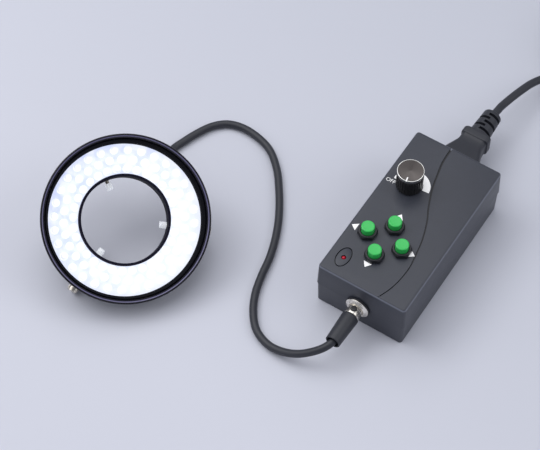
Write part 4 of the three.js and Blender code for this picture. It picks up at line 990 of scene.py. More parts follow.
core = thumb["head"] - thumb["ribHeight"]
tipBore = thumb["shank"] + thumb["capPlay"]
for number, (angle, reach) in enumerate(zip(thumb["angles"], thumb["reach"]), 1):
    place = headPlace @ thumbPlace(angle)
    headEnd = reach + thumb["length"]
    headStart = headEnd - thumb["headLength"]
    shankStart = reach + thumb["capFloor"] + thumb["gap"]
    threads = []
    height = shankStart + thumb["pitch"]
    while height < headStart - thumb["threadStop"]:
        threads += [(thumb["shank"], height),
                    (thumb["shank"] - thumb["threadDepth"], height + thumb["pitch"] / 2)]
        height += thumb["pitch"]
    knurlLow = headStart + thumb["shoulderLength"]
    dishFloor = headEnd - thumb["dishDepth"]
    screw = lathe(f"thumbscrew.{number}", soften([
        (0, shankStart), (thumb["shank"] - 0.4, shankStart), *threads,
        (thumb["shank"] - 0.3, headStart), (thumb["shoulder"], headStart, 0.25),
        (thumb["shoulder"], knurlLow, 0.1), (core, knurlLow, 0.3), (core, headEnd - thumb["chamfer"]),
        (core - thumb["chamfer"], headEnd, 0.1), (thumb["dish"], headEnd, 0.1),
        (thumb["dishFloor"], dishFloor, 0.1), (0, dishFloor),
    ], False, 3), nickelFinish, 40, place, 40)
    root, half, point = core - thumb["ribRoot"], thumb["ribHalf"], thumb["ribTip"]
    rib = loft("ribSeed", [
        [(root, -half, z), (root, half, z), (core + top, point, z), (core + top, -point, z)]
        for z, top in ((knurlLow + 0.3, 0.05), (knurlLow + 0.6, thumb["ribHeight"]),
                       (headEnd - 1.1, thumb["ribHeight"]), (headEnd - 0.75, 0.05))
    ], nickelFinish)
    knurls = rowsRound(f"thumbKnurls.{number}", rib, nickelFinish, thumb["ribs"], 0.0, place)
    belongs(screw, f"screw_{number}", "nickel", f"thumbscrew_{number}")
    belongs(knurls, f"screw_{number}", "nickel")
    tipFloor, tipEnd = reach + thumb["capFloor"], reach + thumb["capLength"]
    tip = lathe(f"nylonTip.{number}", soften([
        (0, reach), (thumb["cap"], reach, 0.45), (thumb["cap"], tipEnd, 0.2), (tipBore, tipEnd, 0.1),
        (tipBore, tipFloor), (0, tipFloor),
    ], False), nylonFinish, 48, place)
    belongs(tip, f"tip_{number}", "nylon", f"thumbscrew_tip_{number}")

glandTop = -depth - gland["gap"]
glandRoot = glandTop - gland["flangeDepth"]
glandPiece = lathe("leadGland", soften([
    (0, plateFront), (gland["plug"], plateFront, 0.2), (gland["plug"], glandTop),
    (gland["flange"], glandTop, 0.15), (gland["flange"], glandRoot, 0.4),
    (gland["root"], glandRoot, 0.3), (gland["tip"], glandEnd, 0.4), (0, glandEnd),
], False), rubberFinish, 64, headPlace @ Matrix.Translation((*glandAt, 0)))
belongs(glandPiece, "base", "rubber", "lead_gland")
print("lamp head made")

# Control box.
halfWidth, halfLength = box["width"] / 2, box["length"] / 2


def caseRing(z, inwards, flare):
    grow = 2 * (flare - inwards)
    return atHeight(ringRectangle(
        box["width"] + grow, box["length"] + grow, max(box["corner"] - inwards, box["leastCorner"])), z)


topLevels = [
    (box["seam"], box["seamInset"]), (box["seam"] + box["seamRise"], 0.0), (box["sideRing"], 0.0),
    *[(box["height"] - box["rounding"] * (1 - math.sin(a)), box["rounding"] * (1 - math.cos(a)))
      for a in quarterTurn],
]
caseTop = loft("caseTop", [caseRing(z, inwards, topFlare(z)) for z, inwards in topLevels], caseFinish,
               sharp=25)
cavityRing = ringRectangle(
    box["width"] - 2 * box["wall"], box["length"] - 2 * box["wall"], box["cavityCorner"])
panelUnder = box["height"] - box["wall"]
caseScrew = {
    "inset": 6.4, "endInset": 8.4, "shank": 1.4, "head": 2.7, "recess": 3.2, "headLength": 2.0,
    "length": 26.0, "point": 1.7, "boss": 4.0, "gap": 0.3, "play": 0.07,
    "slotHalf": (1.5, 0.28), "slotDepth": 0.9, "slotAims": ((0.92, 0.39), (-0.39, 0.92)),
}
screwPlaces = [
    (sx * (halfWidth - caseScrew["inset"]), sy * (halfLength - caseScrew["endInset"]))
    for sx, sy in ((-1, -1), (1, -1), (-1, 1), (1, 1))
]
panelLine = {
    "shares": [
        (0.345, -1.04), (0.388, -0.983), (0.476, -0.864), (0.526, -0.757), (0.554, -0.631),
        (0.557, -0.511), (0.525, -0.392), (0.489, -0.284), (0.444, -0.167), (0.306, 0.047),
        (0.161, 0.206), (0, 0.419), (-0.093, 0.618), (-0.158, 0.788), (-0.178, 1.04),
    ],
    "front": 0.6, "back": 1.5, "depth": 0.8, "bevel": 0.1,
}
linePath = centripetal([Vector((x * halfWidth, y * halfLength, 0)) for x, y in panelLine["shares"]], 8)


def lineRing(z, widen):
    left, right = [], []
    for i, point in enumerate(linePath):
        share = i / (len(linePath) - 1)
        ahead = (linePath[min(i + 1, len(linePath) - 1)] - linePath[max(i - 1, 0)]).normalized()
        reach = (panelLine["front"] + (panelLine["back"] - panelLine["front"]) * share ** 2) / 2 + widen
        left.append((point.x - ahead.y * reach, point.y + ahead.x * reach))
        right.insert(0, (point.x + ahead.y * reach, point.y - ahead.x * reach))
    return atHeight(left + right, z)


lineCutter = loft("lineCutter", [
    lineRing(box["height"] - panelLine["depth"], 0), lineRing(box["height"] - panelLine["bevel"], 0),
    lineRing(box["height"] + 0.01, panelLine["bevel"]),
    lineRing(box["height"] + overshoot, panelLine["bevel"]),
], caseFinish)

button = {
    "x": -5.9, "y": -26.6, "arm": 13.6, "cap": 4.75, "capTop": 8.7, "stem": 3.4, "travel": 2.5,
    "bushing": 6.0, "bezel": 7.45, "bezelHeight": 3.9, "mouth": 5.1, "mouthDepth": 0.4, "body": 6.9,
    "bodyDepth": 15.0, "nutSeat": 0.4, "nutInset": 0.3, "nutFlat": 1.2, "nutDrop": 1.3,
    "mouthFlare": 0.15, "mouthDrop": 0.12, "play": 0.15, "gap": 0.3,
    # the cap's crown: radius, depth below its top and rounding
    "crown": ((0, 0.12, 0), (2.6, 0.09, 2.0), (4.0, 0, 0.3), (4.75, 0.4, 0.5)),
}
buttonPlaces = [
    (button["x"] + sx * button["arm"], button["y"] + sy * button["arm"])
    for sx, sy in ((-1, 0), (0, 1), (1, 0), (0, -1))
]
knob = {
    "x": -15.5, "y": 23.2, "radius": 9.6, "lift": 0.7, "height": 18.0, "capDepth": 2.3, "ring": 1.2,
    "ringInset": 0.12, "ringRoot": 0.7, "flutes": 30, "fluteDepth": 0.35, "fluteHalf": 0.62,
    # the flute's crown: share of its depth and half width
    "fluteCrown": ((0.75, 0.4), (1.0, 0.2)), "fluteRoot": 0.2, "skirtWall": 1.6, "skirtDepth": 4.6,
    "shaft": 3.0, "shaftHole": 4.3, "play": 0.07, "neck": 0.6,
    "rimWidth": 0.55, "faceInset": 0.6, "dishInset": 1.0,
    "dish": 0.18, "pointerLength": 3.7, "pointerWidth": 1.0, "pointerDepth": 0.6, "pointerAngle": -80.0,
    "pointerFit": 0.02, "pointerEnd": 0.05, "pointerRoot": 0.2, "pointerSunk": 0.3, "gap": 0.3,
}
inset = {
    "x": -23.1, "y": -52.3, "width": 9.4, "length": 16.2, "depth": 1.1, "gap": 0.3, "clear": 0.45,
    # how far each ring of the plate grows past the oval, and how deep it lies
    "rings": ((-0.2, 1.1), (-0.2, 0.25), (-0.28, 0.08), (-0.45, 0.0)),
    "lampX": -22.9, "lampY": -52.5, "lamp": 1.5, "lampLength": 5.4, "lampRise": 0.3,
}
inlet = {
    "x": -1.7, "z": 20.5, "nose": (23.4, 15.4), "corner": 3.4, "noseLength": 15.0, "wall": 1.5, "gap": 0.3,
}


def chamferedRing(width, height, corner):
    w, h = width / 2, height / 2
    return [(w, h), (w, -h + corner), (w - corner, -h), (-w + corner, -h), (-w, -h + corner), (-w, h)][::-1]


def ovalRing(grow, steps=64):
    return [
        (inset["x"] + x * (inset["width"] / 2 + grow), inset["y"] + y * (inset["length"] / 2 + grow))
        for x, y in circle(1, steps)
    ]


inletSize = [size + 2 * inlet["wall"] + 4 * inlet["gap"] for size in inlet["nose"]]
inletPlace = Matrix.Translation((inlet["x"], 0, inlet["z"])) @ alongY


def wallCutters():
    return [
        column("socketHole", socket["barrel"] + socket["gap"], -halfLength - overshoot,
               overshoot - halfLength, place=Matrix.Translation((socket["x"], 0, socket["z"])) @ alongY),
        prism("inletHole", chamferedRing(*inletSize, inlet["corner"]), halfLength - overshoot,
              halfLength + overshoot, caseFinish, inletPlace),
    ]


throughPanel = (panelUnder - overshoot, box["height"] + overshoot)
lampPlace = [(inset["lampX"], inset["lampY"])]
lampHole = inset["lamp"] + inset["gap"]
bosses = columnsAt(screwPlaces, "boss", caseScrew["boss"], box["seam"], panelUnder + box["rooted"], 32)
holes = [
    *columnsAt(screwPlaces, "pilot", caseScrew["shank"] + caseScrew["play"], box["seam"] - overshoot,
               caseScrew["recess"] + caseScrew["length"] + caseScrew["gap"], 24),
    *columnsAt(buttonPlaces, "buttonHole", button["bushing"] + button["gap"], *throughPanel),
    *columnsAt([(knob["x"], knob["y"])], "shaftHole", knob["shaftHole"], *throughPanel),
    *columnsAt(lampPlace, "lampHole", lampHole, *throughPanel),
]
recess = prism("insetRecess", ovalRing(inset["clear"]), box["height"] - inset["depth"] - inset["gap"],
               box["height"] + overshoot, caseFinish)
cavity = prism("cavity", cavityRing, box["seam"] - overshoot, panelUnder, caseFinish)
combine(caseTop, "DIFFERENCE", [cavity], 25)
combine(caseTop, "UNION", bosses, 25)
combine(caseTop, "DIFFERENCE", [*holes, recess, lineCutter, *wallCutters()], 25)
belongs(caseTop, "base", "case_plastic", "case_top")

seamTop = box["seam"] - box["gap"]
baseLevels = [
    (0.0, 0.5), (0.15, 0.22), (0.5, 0.0), (seamTop - box["seamRise"], 0.0), (seamTop, box["seamInset"]),
]
caseBottom = loft("caseBottom", [caseRing(z, inwards, baseFlare(z)) for z, inwards in baseLevels],
                  caseFinish, sharp=25)
cavity = prism("cavity", cavityRing, box["wall"], box["seam"] + overshoot, caseFinish)
bossFoot = box["wall"] - box["rooted"]
bosses = columnsAt(screwPlaces, "boss", caseScrew["boss"], bossFoot, seamTop, 32)
bosses += columnsAt(box["posts"], "post", box["post"], bossFoot, box["postTop"], 24)
holes = columnsAt(screwPlaces, "through", caseScrew["shank"] + caseScrew["gap"], -overshoot,
                  box["seam"] + overshoot, 24)
holes += columnsAt(screwPlaces, "headRecess", caseScrew["head"] + caseScrew["gap"], -overshoot,
                   caseScrew["recess"], 32)
combine(caseBottom, "DIFFERENCE", [cavity], 25)
combine(caseBottom, "UNION", bosses, 25)
combine(caseBottom, "DIFFERENCE", [*holes, *wallCutters()], 25)
belongs(caseBottom, "base", "case_plastic", "case_bottom")
print("box shells made")

screwHead = caseScrew["recess"] - caseScrew["gap"]
screwLow = screwHead - caseScrew["headLength"]
screwTip = caseScrew["recess"] + caseScrew["length"]
slotX, slotY = caseScrew["slotHalf"]
for number, (x, y) in enumerate(screwPlaces, 1):
    closing = lathe(f"caseScrew.{number}", soften([
        (0, screwLow), (caseScrew["head"], screwLow, 0.5), (caseScrew["head"], screwHead, 0.1),
        (caseScrew["shank"], screwHead), (caseScrew["shank"], screwTip - caseScrew["point"], 0.2),
        (0, screwTip),
    ], False), steelFinish, 40, Matrix.Translation((x, y, 0)))
    slots = [prism("slot", [
        (x + a * c - b * s, y + a * s + b * c)
        for a, b in ((-slotX, -slotY), (slotX, -slotY), (slotX, slotY), (-slotX, slotY))
    ], screwLow - 1, screwLow + caseScrew["slotDepth"], steelFinish) for c, s in caseScrew["slotAims"]]
    combine(closing, "DIFFERENCE", slots)
    belongs(closing, "base", "steel", f"case_screw_{number}")

insetPlate = loft("lampInset", [
    atHeight(ovalRing(grow), box["height"] - down) for grow, down in inset["rings"]
], caseFinish)
combine(insetPlate, "DIFFERENCE", columnsAt(lampPlace, "lampHole", lampHole, *throughPanel))
belongs(insetPlate, "base", "case_plastic", "led_inset")
lampTop = box["height"] + inset["lampRise"]
lampPiece = lathe("powerLamp", [
    (0, lampTop),
    *[(inset["lamp"] * math.sin(a), lampTop - inset["lamp"] * (1 - math.cos(a))) for a in quarterTurn[1:]],
    (inset["lamp"], lampTop - inset["lampLength"]), (0, lampTop - inset["lampLength"]),
], lampFinish, 32, Matrix.Translation((inset["lampX"], inset["lampY"], 0)))
belongs(lampPiece, "base", "lamp_red", "power_led")

bezelLow = box["height"] + button["gap"]
bezelTop = box["height"] + button["bezelHeight"]
switchTop = panelUnder - button["gap"]
capLow = box["height"] - button["stem"]
capTop = box["height"] + button["capTop"]
nutRadius = button["bezel"] - button["nutInset"]
nutSeat = bezelLow + button["nutSeat"]
switchLow = switchTop - button["bodyDepth"]
capBore = button["cap"] + button["play"]
wellLow = capLow - button["travel"] - button["gap"]
mouthWide = button["mouth"] + button["mouthFlare"]
for number, (x, y) in enumerate(buttonPlaces, 1):
    place = Matrix.Translation((x, y, 0))
    hexagon = [(-y, x) for x, y in circle(button["bezel"], 6)]
    nut = prism(f"switchBezel.{number}", hexagon, bezelLow, bezelTop, plasticFinish, place)
    turned = lathe("turned", soften([
        (0, bezelLow - 0.1), (nutRadius, bezelLow - 0.1), (nutRadius, bezelTop - button["nutDrop"], 1.0),
        (button["bezel"] - button["nutFlat"], bezelTop, 0.5), (0, bezelTop),
    ], False), plasticFinish, 96, place)
    combine(nut, "INTERSECT", [turned], 20)
    barrel = lathe("barrel", [
        (0, switchLow), (button["body"], switchLow), (button["body"], switchTop),
        (button["bushing"], switchTop), (button["bushing"], nutSeat), (0, nutSeat),
    ], plasticFinish, 64, place)
    combine(nut, "UNION", [barrel], 20)
    well = lathe("well", soften([
        (0, wellLow), (capBore, wellLow), (capBore, bezelTop - button["mouthDepth"]),
        (button["mouth"], bezelTop - button["mouthDrop"], 0.2), (mouthWide, bezelTop + 0.01),
        (mouthWide, bezelTop + overshoot), (0, bezelTop + overshoot),
    ], False), plasticFinish, 64, place)
    combine(nut, "DIFFERENCE", [well], 20)
    belongs(nut, "base", "black_plastic", f"button_switch_{number}")
    cap = lathe(f"buttonCap.{number}", soften([
        *[(radius, capTop - down, rounding) for radius, down, rounding in button["crown"]],
        (button["cap"], capLow, 0.2), (0, capLow),
    ], False, 6), greenFinish, 64, place, 40)
    belongs(cap, f"button_{number}", "button_green", f"button_cap_{number}")
print("buttons made")

# Dimmer knob.
knobPlace = Matrix.Translation((knob["x"], knob["y"], 0))
knobLow = box["height"] + knob["lift"]
knobTop = box["height"] + knob["height"]
capSeat = knobTop - knob["capDepth"]
ringLow = capSeat - knob["gap"] - knob["ring"]
core = knob["radius"] - knob["fluteDepth"]
shaftTop = capSeat - knob["capDepth"]
shaftBore = knob["shaft"] + knob["play"]
skirtInner, skirtTop = knob["radius"] - knob["skirtWall"], knobLow + knob["skirtDepth"]
knobBody = lathe("knobBody", soften([
    (core, knobLow, 0.3), (core, ringLow + 0.1, 0.2), (core - knob["neck"], ringLow + 0.2),
    (core - knob["neck"], capSeat - 0.2), (0, capSeat - 0.2), (0, shaftTop + knob["gap"]),
    (shaftBore, shaftTop + knob["gap"]), (shaftBore, skirtTop), (skirtInner, skirtTop),
    (skirtInner, knobLow),
], True), knobFinish, 96, knobPlace)
fluteRoot, (shoulderShare, shoulderHalf), (_, crownHalf) = core - knob["fluteRoot"], *knob["fluteCrown"]
flute = loft("fluteSeed", [
    [(fluteRoot, -knob["fluteHalf"], z), (fluteRoot, knob["fluteHalf"], z),
     (core + top * shoulderShare, shoulderHalf, z), (core + top, crownHalf, z),
     (core + top, -crownHalf, z), (core + top * shoulderShare, -shoulderHalf, z)]
    for z, top in ((knobLow + 0.1, 0.05), (knobLow + 0.45, knob["fluteDepth"]),
                   (ringLow - 0.35, knob["fluteDepth"]), (ringLow, 0.05))
], knobFinish)
flutes = rowsRound("knobFlutes", flute, knobFinish, knob["flutes"], 0.0, knobPlace)
ringInner, ringOuter = core - knob["ringRoot"], knob["radius"] - knob["ringInset"]
knobRing = lathe("knobRing", soften([
    (ringInner, ringLow + 0.3, 0.1), (ringOuter, ringLow + 0.3, 0.25),
    (ringOuter, capSeat - 0.35, 0.25), (ringInner, capSeat - 0.35, 0.1),
]), darkChrome, 128, knobPlace)
rimInside = knob["radius"] - knob["rimWidth"]
capRim = lathe("knobCapRim", soften([
    (rimInside, capSeat, 0.1), (knob["radius"], capSeat, 0.3), (knob["radius"], knobTop, 0.45),
    (rimInside, knobTop, 0.1),
], True, 6), chromeFinish, 128, knobPlace)

# The cap's metal: spun round its middle, with painted shade darkening it towards one side.
capPaintedShade = {"shadeColour": (46, 43, 44), "shadedSide": (-0.54, 0.84, 0.0), "share": 0.55, "swing": 0.9}
capTree = bronzeFinish.node_tree
capMiddle = knobTop - knob["dish"]


def vectorNode(operation, output, first, second=None):
    node = capTree.nodes.new("ShaderNodeVectorMath")
    node.operation = operation
    wire(capTree, first, node.inputs[0])
    if second:
        node.inputs[1].default_value = second
    return node.outputs[output]


fromMiddle = vectorNode("SUBTRACT", "Vector", capTree.nodes.new("ShaderNodeTexCoord").outputs["Object"],
                        (knob["x"] * mm, knob["y"] * mm, capMiddle * mm))
wire(capTree, vectorNode("CROSS_PRODUCT", "Vector", fromMiddle, (0, 0, 1)),
     capTree.nodes["Principled BSDF"].inputs["Tangent"])
lean = vectorNode("DOT_PRODUCT", "Value", vectorNode("NORMALIZE", "Vector", fromMiddle), capPaintedShade["shadedSide"])
overlay(bronzeFinish, ranged(capTree, lean, -capPaintedShade["swing"], capPaintedShade["swing"], 0.0, capPaintedShade["share"]),
        capPaintedShade["shadeColour"])
capFace = lathe("knobCapFace", soften([
    (0, capSeat), (knob["radius"] - knob["faceInset"], capSeat),
    (knob["radius"] - knob["faceInset"], knobTop - 0.02, 0.12),
    (knob["radius"] - knob["dishInset"], knobTop - 0.12, 0.2), (0, capMiddle),
], False), bronzeFinish, 128, knobPlace)


def slotBlock(name, material, start, end, width, low, high):
    ring = [(start, -width / 2), (end, -width / 2), (end, width / 2), (start, width / 2)]
    return prism(name, ring, low, high, material, knobPlace @ spun(knob["pointerAngle"], "Z"))


pointerStart = knob["radius"] - knob["pointerLength"]
pointerFloor = knobTop - knob["pointerDepth"]
for piece in (capRim, capFace):
    combine(piece, "DIFFERENCE", [slotBlock(
        "slot", chromeFinish, pointerStart, knob["radius"] + overshoot, knob["pointerWidth"], pointerFloor,
        knobTop + overshoot)])
pointer = slotBlock("knobPointer", printFinish, pointerStart + knob["pointerFit"],
                    knob["radius"] - knob["pointerEnd"], knob["pointerWidth"] - 2 * knob["pointerFit"],
                    pointerFloor - knob["pointerRoot"], knobTop - knob["pointerSunk"])
belongs(knobBody, "dimmer", "black_plastic", "dimmer_knob")
belongs(flutes, "dimmer", "black_plastic")
for piece in (knobRing, capRim, pointer):
    belongs(piece, "dimmer", "chrome")
belongs(capFace, "dimmer", "bronze", "knob_cap")

# Panel print.
dial = {
    "inner": 9.9, "steps": 12,
    "widths": [(182, 11.6), (180, 12.2), (120, 13.3), (67, 14.2), (47, 14.6), (30, 15.0), (3, 15.0)],
}
marks = {
    "lift": 0.02, "depth": 0.04,
    "triangles": [(-32.2, -26.5, 180), (-7.3, -0.8, 90), (-6.9, -51.4, -90), (17.6, -25.6, 0)],
    "base": 6.3, "tall": 4.2, "offAt": (-32.1, 18.3), "offHeight": 3.0, "sizePerCapital": 1.4,
}
printLow = box["height"] + marks["lift"]


def printed(name, ring):
    piece = prism(name, ring, printLow, printLow + marks["depth"], printFinish)
    return belongs(piece, "base", "case_plastic")


def knobPoint(angle, reach):
    return (knob["x"] + reach * math.cos(angle), knob["y"] + reach * math.sin(angle))


outer, inner = [], []
for (fromAngle, fromRadius), (toAngle, toRadius) in zip(dial["widths"], dial["widths"][1:]):
    for step in range(dial["steps"]):
        share = step / dial["steps"]
        angle = math.radians(fromAngle + (toAngle - fromAngle) * share)
        outer.append(knobPoint(angle, fromRadius + (toRadius - fromRadius) * share))
        inner.append(knobPoint(angle, dial["inner"]))
printed("dialWedge", outer + inner[::-1])
for number, (x, y, heading) in enumerate(marks["triangles"], 1):
    c, s = math.cos(math.radians(heading)), math.sin(math.radians(heading))
    printed(f"arrowMark.{number}", [
        (x + a * c - b * s, y + a * s + b * c)
        for a, b in ((0, 0), (-marks["tall"], marks["base"] / 2), (-marks["tall"], -marks["base"] / 2))
    ])

lettering = bpy.data.curves.new("offMark", "FONT")
lettering.body = "OFF"
lettering.size = marks["offHeight"] * marks["sizePerCapital"] * mm
lettering.extrude = marks["depth"] / 2 * mm
letters = link(bpy.data.objects.new("offLetters", lettering))
lettersMesh = bpy.data.meshes.new_from_object(letters.evaluated_get(bpy.context.evaluated_depsgraph_get()))
bpy.data.objects.remove(letters)
lettersMesh.transform(Matrix.Translation(Vector((*marks["offAt"], printLow + marks["depth"] / 2)) * mm))
offMark = link(bpy.data.objects.new("offMark", lettersMesh))
lettersMesh.materials.clear()
lettersMesh.materials.append(printFinish)
tidyMesh(offMark)
belongs(offMark, "base", "case_plastic")
print("knob and print made")

# Lead socket and plug. Local Z runs into the box.
gasketFace = -socket["gap"] - socket["gasketDepth"]
flangeBack = gasketFace - socket["gap"]
flangeFront = flangeBack - socket["flangeDepth"]
socketFront = flangeFront - socket["dome"]
gasketBore = socket["barrel"] + socket["gap"]
gasket = lathe("socketGasket", soften([
    (gasketBore, gasketFace), (socket["gasket"], gasketFace, 0.25),
    (socket["gasket"], -socket["gap"], 0.25), (gasketBore, -socket["gap"]),
]), rubberFinish, 96, socketPlace)
belongs(gasket, "base", "rubber", "socket_gasket")
plugBore = leadPlug["radius"] + leadPlug["play"]
boreFloor = leadPlug["reach"] + leadPlug["gap"]
flange = lathe("leadSocket", soften([
    (plugBore, socketFront, 0.15), (socket["lip"], socketFront, 0.3),
    ((socket["flange"] + socket["lip"]) / 2, flangeFront - socket["dome"] / 3, 2.0),
    (socket["flange"], flangeFront, 0.35), (socket["flange"], flangeBack, 0.2),
    (socket["barrel"], flangeBack), (socket["barrel"], socket["barrelLength"]),
    (0, socket["barrelLength"]), (0, boreFloor), (plugBore, boreFloor),
], True, 6), satinFinish, 96, socketPlace)
belongs(flange, "base", "chrome", "lead_socket")

plugRadius = leadPlug["radius"]
tailEnd = -leadPlug["show"] - leadPlug["tailLength"]
grooveFloor = plugRadius - leadPlug["grooveDepth"]
grooveTop, groovedTop, groovedLow, grooveLow = leadPlug["groove"]
shell = lathe("plugShell", soften([
    (0, leadPlug["reach"]), (plugRadius, leadPlug["reach"], 0.2), (plugRadius, grooveTop),
    (grooveFloor, groovedTop), (grooveFloor, groovedLow), (plugRadius, grooveLow),
    (plugRadius, -leadPlug["show"], 0.5), (leadPlug["tail"], -leadPlug["show"], 0.1),
    (leadPlug["tail"], tailEnd), (0, tailEnd),
], False), satinFinish, 96, socketPlace)
latchTop = plugRadius + leadPlug["latchStand"]
latchLow = latchTop - leadPlug["latchLength"]
latchPlace = Matrix.Translation((
    socket["x"], -halfLength - topFlare(socket["z"]) - leadPlug["latchBack"], socket["z"],
))
combine(shell, "DIFFERENCE", [column(
    "latchWell", leadPlug["latch"] + leadPlug["play"], latchLow - leadPlug["latchTravel"] - leadPlug["gap"],
    plugRadius + overshoot, place=latchPlace)])
latch = lathe("plugLatch", soften([
    (0, latchTop), (leadPlug["latch"], latchTop, 0.4), (leadPlug["latch"], latchLow, 0.1), (0, latchLow),
], False, 5), plasticFinish, 48, latchPlace)
belongs(shell, "base", "chrome", "plug_shell")
belongs(latch, "latch", "black_plastic", "plug_latch")
bootFront = -leadPlug["show"] - leadPlug["gap"]
bootRear = bootFront - leadPlug["bootLength"]
bootTail = bootFront - leadPlug["tailLength"]
bootBore = leadPlug["tail"] + leadPlug["play"]
throatEnd = bootRear + leadPlug["mouthDepth"]
boot = lathe("plugBoot", soften([
    (0, bootTail), (bootBore, bootTail), (bootBore, bootFront), (leadPlug["bootFront"], bootFront, 0.5),
    (leadPlug["bootRear"], bootRear, 0.5), (leadPlug["mouth"], bootRear, 0.3),
    (leadPlug["throat"], throatEnd, 0.3), (0, throatEnd),
], False, 5), rubberFinish, 96, socketPlace)
belongs(boot, "base", "rubber", "plug_boot")

# Appliance connector. Local Z runs away from the box.
connector = {
    "shoulderAt": 0.6, "shoulder": (29.5, 20.0), "shoulderEnd": 7.0, "neck": (20.0, 15.6), "neckAt": 21.0,
    "waist": (19.6, 15.4), "waistAt": 26.1, "grip": (22.0, 17.0), "gripLength": 6.1, "gripRound": 1.4,
    "corner": 3.4, "relief": 23.0, "reliefRoot": 8.1, "reliefTip": 7.0, "slotWidth": 2.3, "slotPitch": 3.78,
    "slotStart": 2.2, "slots": 5, "core": 4.1, "slotOuter": 12, "slotHalfAngle": 100.0,
    "edgeInset": 0.9, "edgeRise": 0.45, "bends": {2: 6.0, 3: 5.0}, "swell": (0.8, 1.2, 0.5), "rooted": 0.4,
}
wallFace = halfLength + topFlare(inlet["z"])
connectorPlace = Matrix.Translation((inlet["x"], wallFace, inlet["z"])) @ alongY
gripStart = connector["waistAt"] + connector["gripRound"] / 2
gripEnd = gripStart + connector["gripLength"]
reliefEnd = gripEnd + connector["relief"]


def connectorRings():
    start = connector["shoulderAt"]
    corners = [
        (start, *[size - connector["edgeInset"] for size in connector["shoulder"]]),
        (start + connector["edgeRise"], *connector["shoulder"]),
        (connector["shoulderEnd"], *connector["shoulder"]), (connector["neckAt"], *connector["neck"]),
        (connector["waistAt"], *connector["waist"]),
    ]
    # the bends at the shoulder and at the neck are eased
    bends = connector["bends"]
    levels = []
    for i, corner in enumerate(corners):
        if i not in bends:
            levels.append(corner)
            continue
        here = Vector(corner)
        before, after = Vector(corners[i - 1]) - here, Vector(corners[i + 1]) - here
        reach = min(bends[i], before.length * 0.49, after.length * 0.49)
        first, last = here + before.normalized() * reach, here + after.normalized() * reach
        for step in range(7):
            t = step / 6
            levels.append(tuple((1 - t) ** 2 * first + 2 * t * (1 - t) * here + t ** 2 * last))
    rounding = connector["gripRound"]
    width, height = connector["grip"]
    along, across, upright = [rounding * share for share in connector["swell"]]
    angles = [math.radians(22.5 * i) for i in range(5)]
    for angle in angles:
        rest = 1 - math.sin(angle)
        levels.append((gripStart + along * (1 - math.cos(angle)),
                       width - across * rest, height - upright * rest))
    levels.append((gripEnd - rounding, width, height))
    for angle in angles[1:]:
        gone = 1 - math.cos(angle)
        levels.append((gripEnd - rounding + rounding * math.sin(angle),
                       width - 2 * rounding * gone, height - upright * gone))
    return [atHeight(ringRectangle(x, y, connector["corner"], 8), z) for z, x, y in levels]


connectorPiece = loft("applianceConnector", connectorRings(), rubberFinish, connectorPlace, 40)
noseRing = chamferedRing(*inlet["nose"], inlet["corner"])
nose = prism("nose", noseRing, -inlet["noseLength"], connector["shoulderAt"] + connector["rooted"],
             rubberFinish, connectorPlace)
reliefFoot = gripEnd - connector["rooted"]
reliefSleeve = lathe("relief", soften([
    (0, reliefFoot), (connector["reliefRoot"], reliefFoot),
    (connector["reliefTip"], reliefEnd, 1.2), (0, reliefEnd),
], False), rubberFinish, 64, connectorPlace)
slotCutters = []
slotReach = math.radians(connector["slotHalfAngle"])
for i in range(connector["slots"]):
    low = gripEnd + connector["slotStart"] + i * connector["slotPitch"]
    facing = math.pi if i % 2 else 0
    angles = [facing - slotReach + 2 * slotReach * k / 16 for k in range(17)]
    ring = [
        (radius * math.cos(a), radius * math.sin(a))
        for radius, turns in ((connector["core"], angles), (connector["slotOuter"], angles[::-1]))
        for a in turns
    ]
    slotCutters.append(prism("slot", ring, low, low + connector["slotWidth"], rubberFinish, connectorPlace))
combine(connectorPiece, "UNION", [nose, reliefSleeve], 40)
combine(connectorPiece, "DIFFERENCE", slotCutters, 40)
belongs(connectorPiece, "base", "rubber", "mains_connector")

# Mains plug. Local Z runs towards its blades.
plug = {
    "body": (25.0, 21.2), "bodyLength": 27.0, "round": 3.0, "relief": 20.0, "root": 6.0, "tip": 4.3,
    "blade": (1.5, 6.35), "bladeLength": 17.0, "spread": 6.35, "rise": 3.9, "earth": 2.4,
    "earthLength": 20.0, "drop": 7.9, "seat": 4.0, "taper": (0.45, 0.25), "taperLength": 1.0,
    "rooted": 0.6, "play": 0.15, "gap": 0.3,
}
plugPlace = Matrix.Translation(plugAt) @ alongY
plugFace = plug["relief"] + plug["bodyLength"]
plugRound = plug["round"]
plugLevels = [
    *[(plug["relief"] + plugRound * (1 - math.cos(a)), 2 * plugRound * (1 - math.sin(a)))
      for a in quarterTurn],
    (plugFace - 0.5, 0.0), (plugFace - 0.15, 0.3), (plugFace, 1.0),
]
plugPiece = loft("mainsPlug", [
    atHeight(ringRectangle(plug["body"][0] - less, plug["body"][1] - less, plugRound), z)
    for z, less in plugLevels
], rubberFinish, plugPlace, 40)
sleeveEnd = plug["relief"] + plug["rooted"]
plugSleeve = lathe("sleeve", soften([
    (0, 0), (plug["tip"], 0, 0.5), (plug["root"], sleeveEnd), (0, sleeveEnd),
], False), rubberFinish, 64, plugPlace)
combine(plugPiece, "UNION", [plugSleeve], 40)


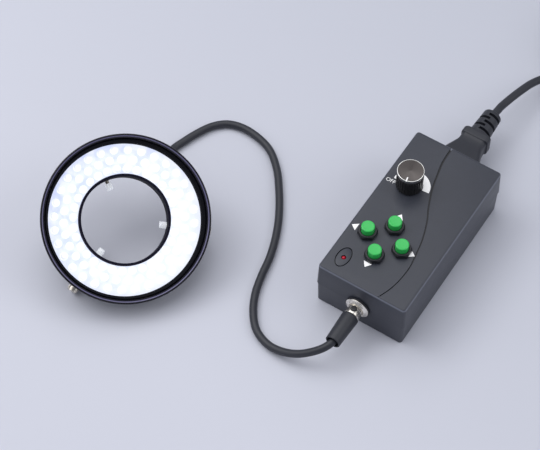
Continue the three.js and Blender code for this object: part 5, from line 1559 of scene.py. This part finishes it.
def bladeRing(side, grow):
    # local Y runs down on this side, so the blades sit at minus the rise
    x, y = side * plug["spread"], -plug["rise"]
    a, b = plug["blade"][0] / 2 + grow, plug["blade"][1] / 2 + grow
    return [(x - a, y - b), (x + a, y - b), (x + a, y + b), (x - a, y + b)]


bladeFoot = plugFace - plug["seat"]
pocketFoot, pocketEnd = bladeFoot - plug["gap"], plugFace + overshoot
combine(plugPiece, "DIFFERENCE", [
    *[prism("pocket", bladeRing(side, plug["play"]), pocketFoot, pocketEnd, rubberFinish, plugPlace)
      for side in (-1, 1)],
    column("pocket", plug["earth"] + plug["play"], pocketFoot, pocketEnd, 0, plug["drop"], 32, plugPlace),
], 40)
belongs(plugPiece, "base", "rubber", "mains_plug")
bladeTip = plugFace + plug["bladeLength"]
taperX, taperY = plug["taper"]
for side, use in ((-1, "line"), (1, "neutral")):
    ring = bladeRing(side, 0)
    point = [(x - (x - side * plug["spread"]) * taperX, y - (y + plug["rise"]) * taperY) for x, y in ring]
    blade = loft(f"plugBlade.{use}", [
        atHeight(ring, bladeFoot), atHeight(ring, bladeTip - plug["taperLength"]), atHeight(point, bladeTip),
    ], nickelFinish, plugPlace)
    belongs(blade, "base", "nickel", f"plug_blade_{use}")
earthTip = plugFace + plug["earthLength"]
earthPin = lathe("plugEarthPin", soften([
    (0, bladeFoot), (plug["earth"], bladeFoot), (plug["earth"], earthTip - 1.2, 1.0),
    (plug["earth"] * 0.55, earthTip, 0.6), (0, earthTip),
], False), nickelFinish, 48, plugPlace @ Matrix.Translation((0, plug["drop"], 0)))
belongs(earthPin, "base", "nickel", "plug_earth_pin")
print("connector and plug made")

# Solids that nothing replaces keep their shape and get a finish.
hiddenFinishes = dict.fromkeys((
    "dimmer_shaft", "dimmer_pot", "pot_nut", "socket_nut", "inlet_pin_line", "inlet_pin_neutral",
    "inlet_pin_earth",
), steelFinish) | {
    "control_board": circuitFinish, "transformer": tapeFinish, "filter_capacitor": sleeveFinish,
    "mains_inlet": plasticFinish,
}
for name, material in hiddenFinishes.items():
    nodes[name].data.materials.clear()
    nodes[name].data.materials.append(material)
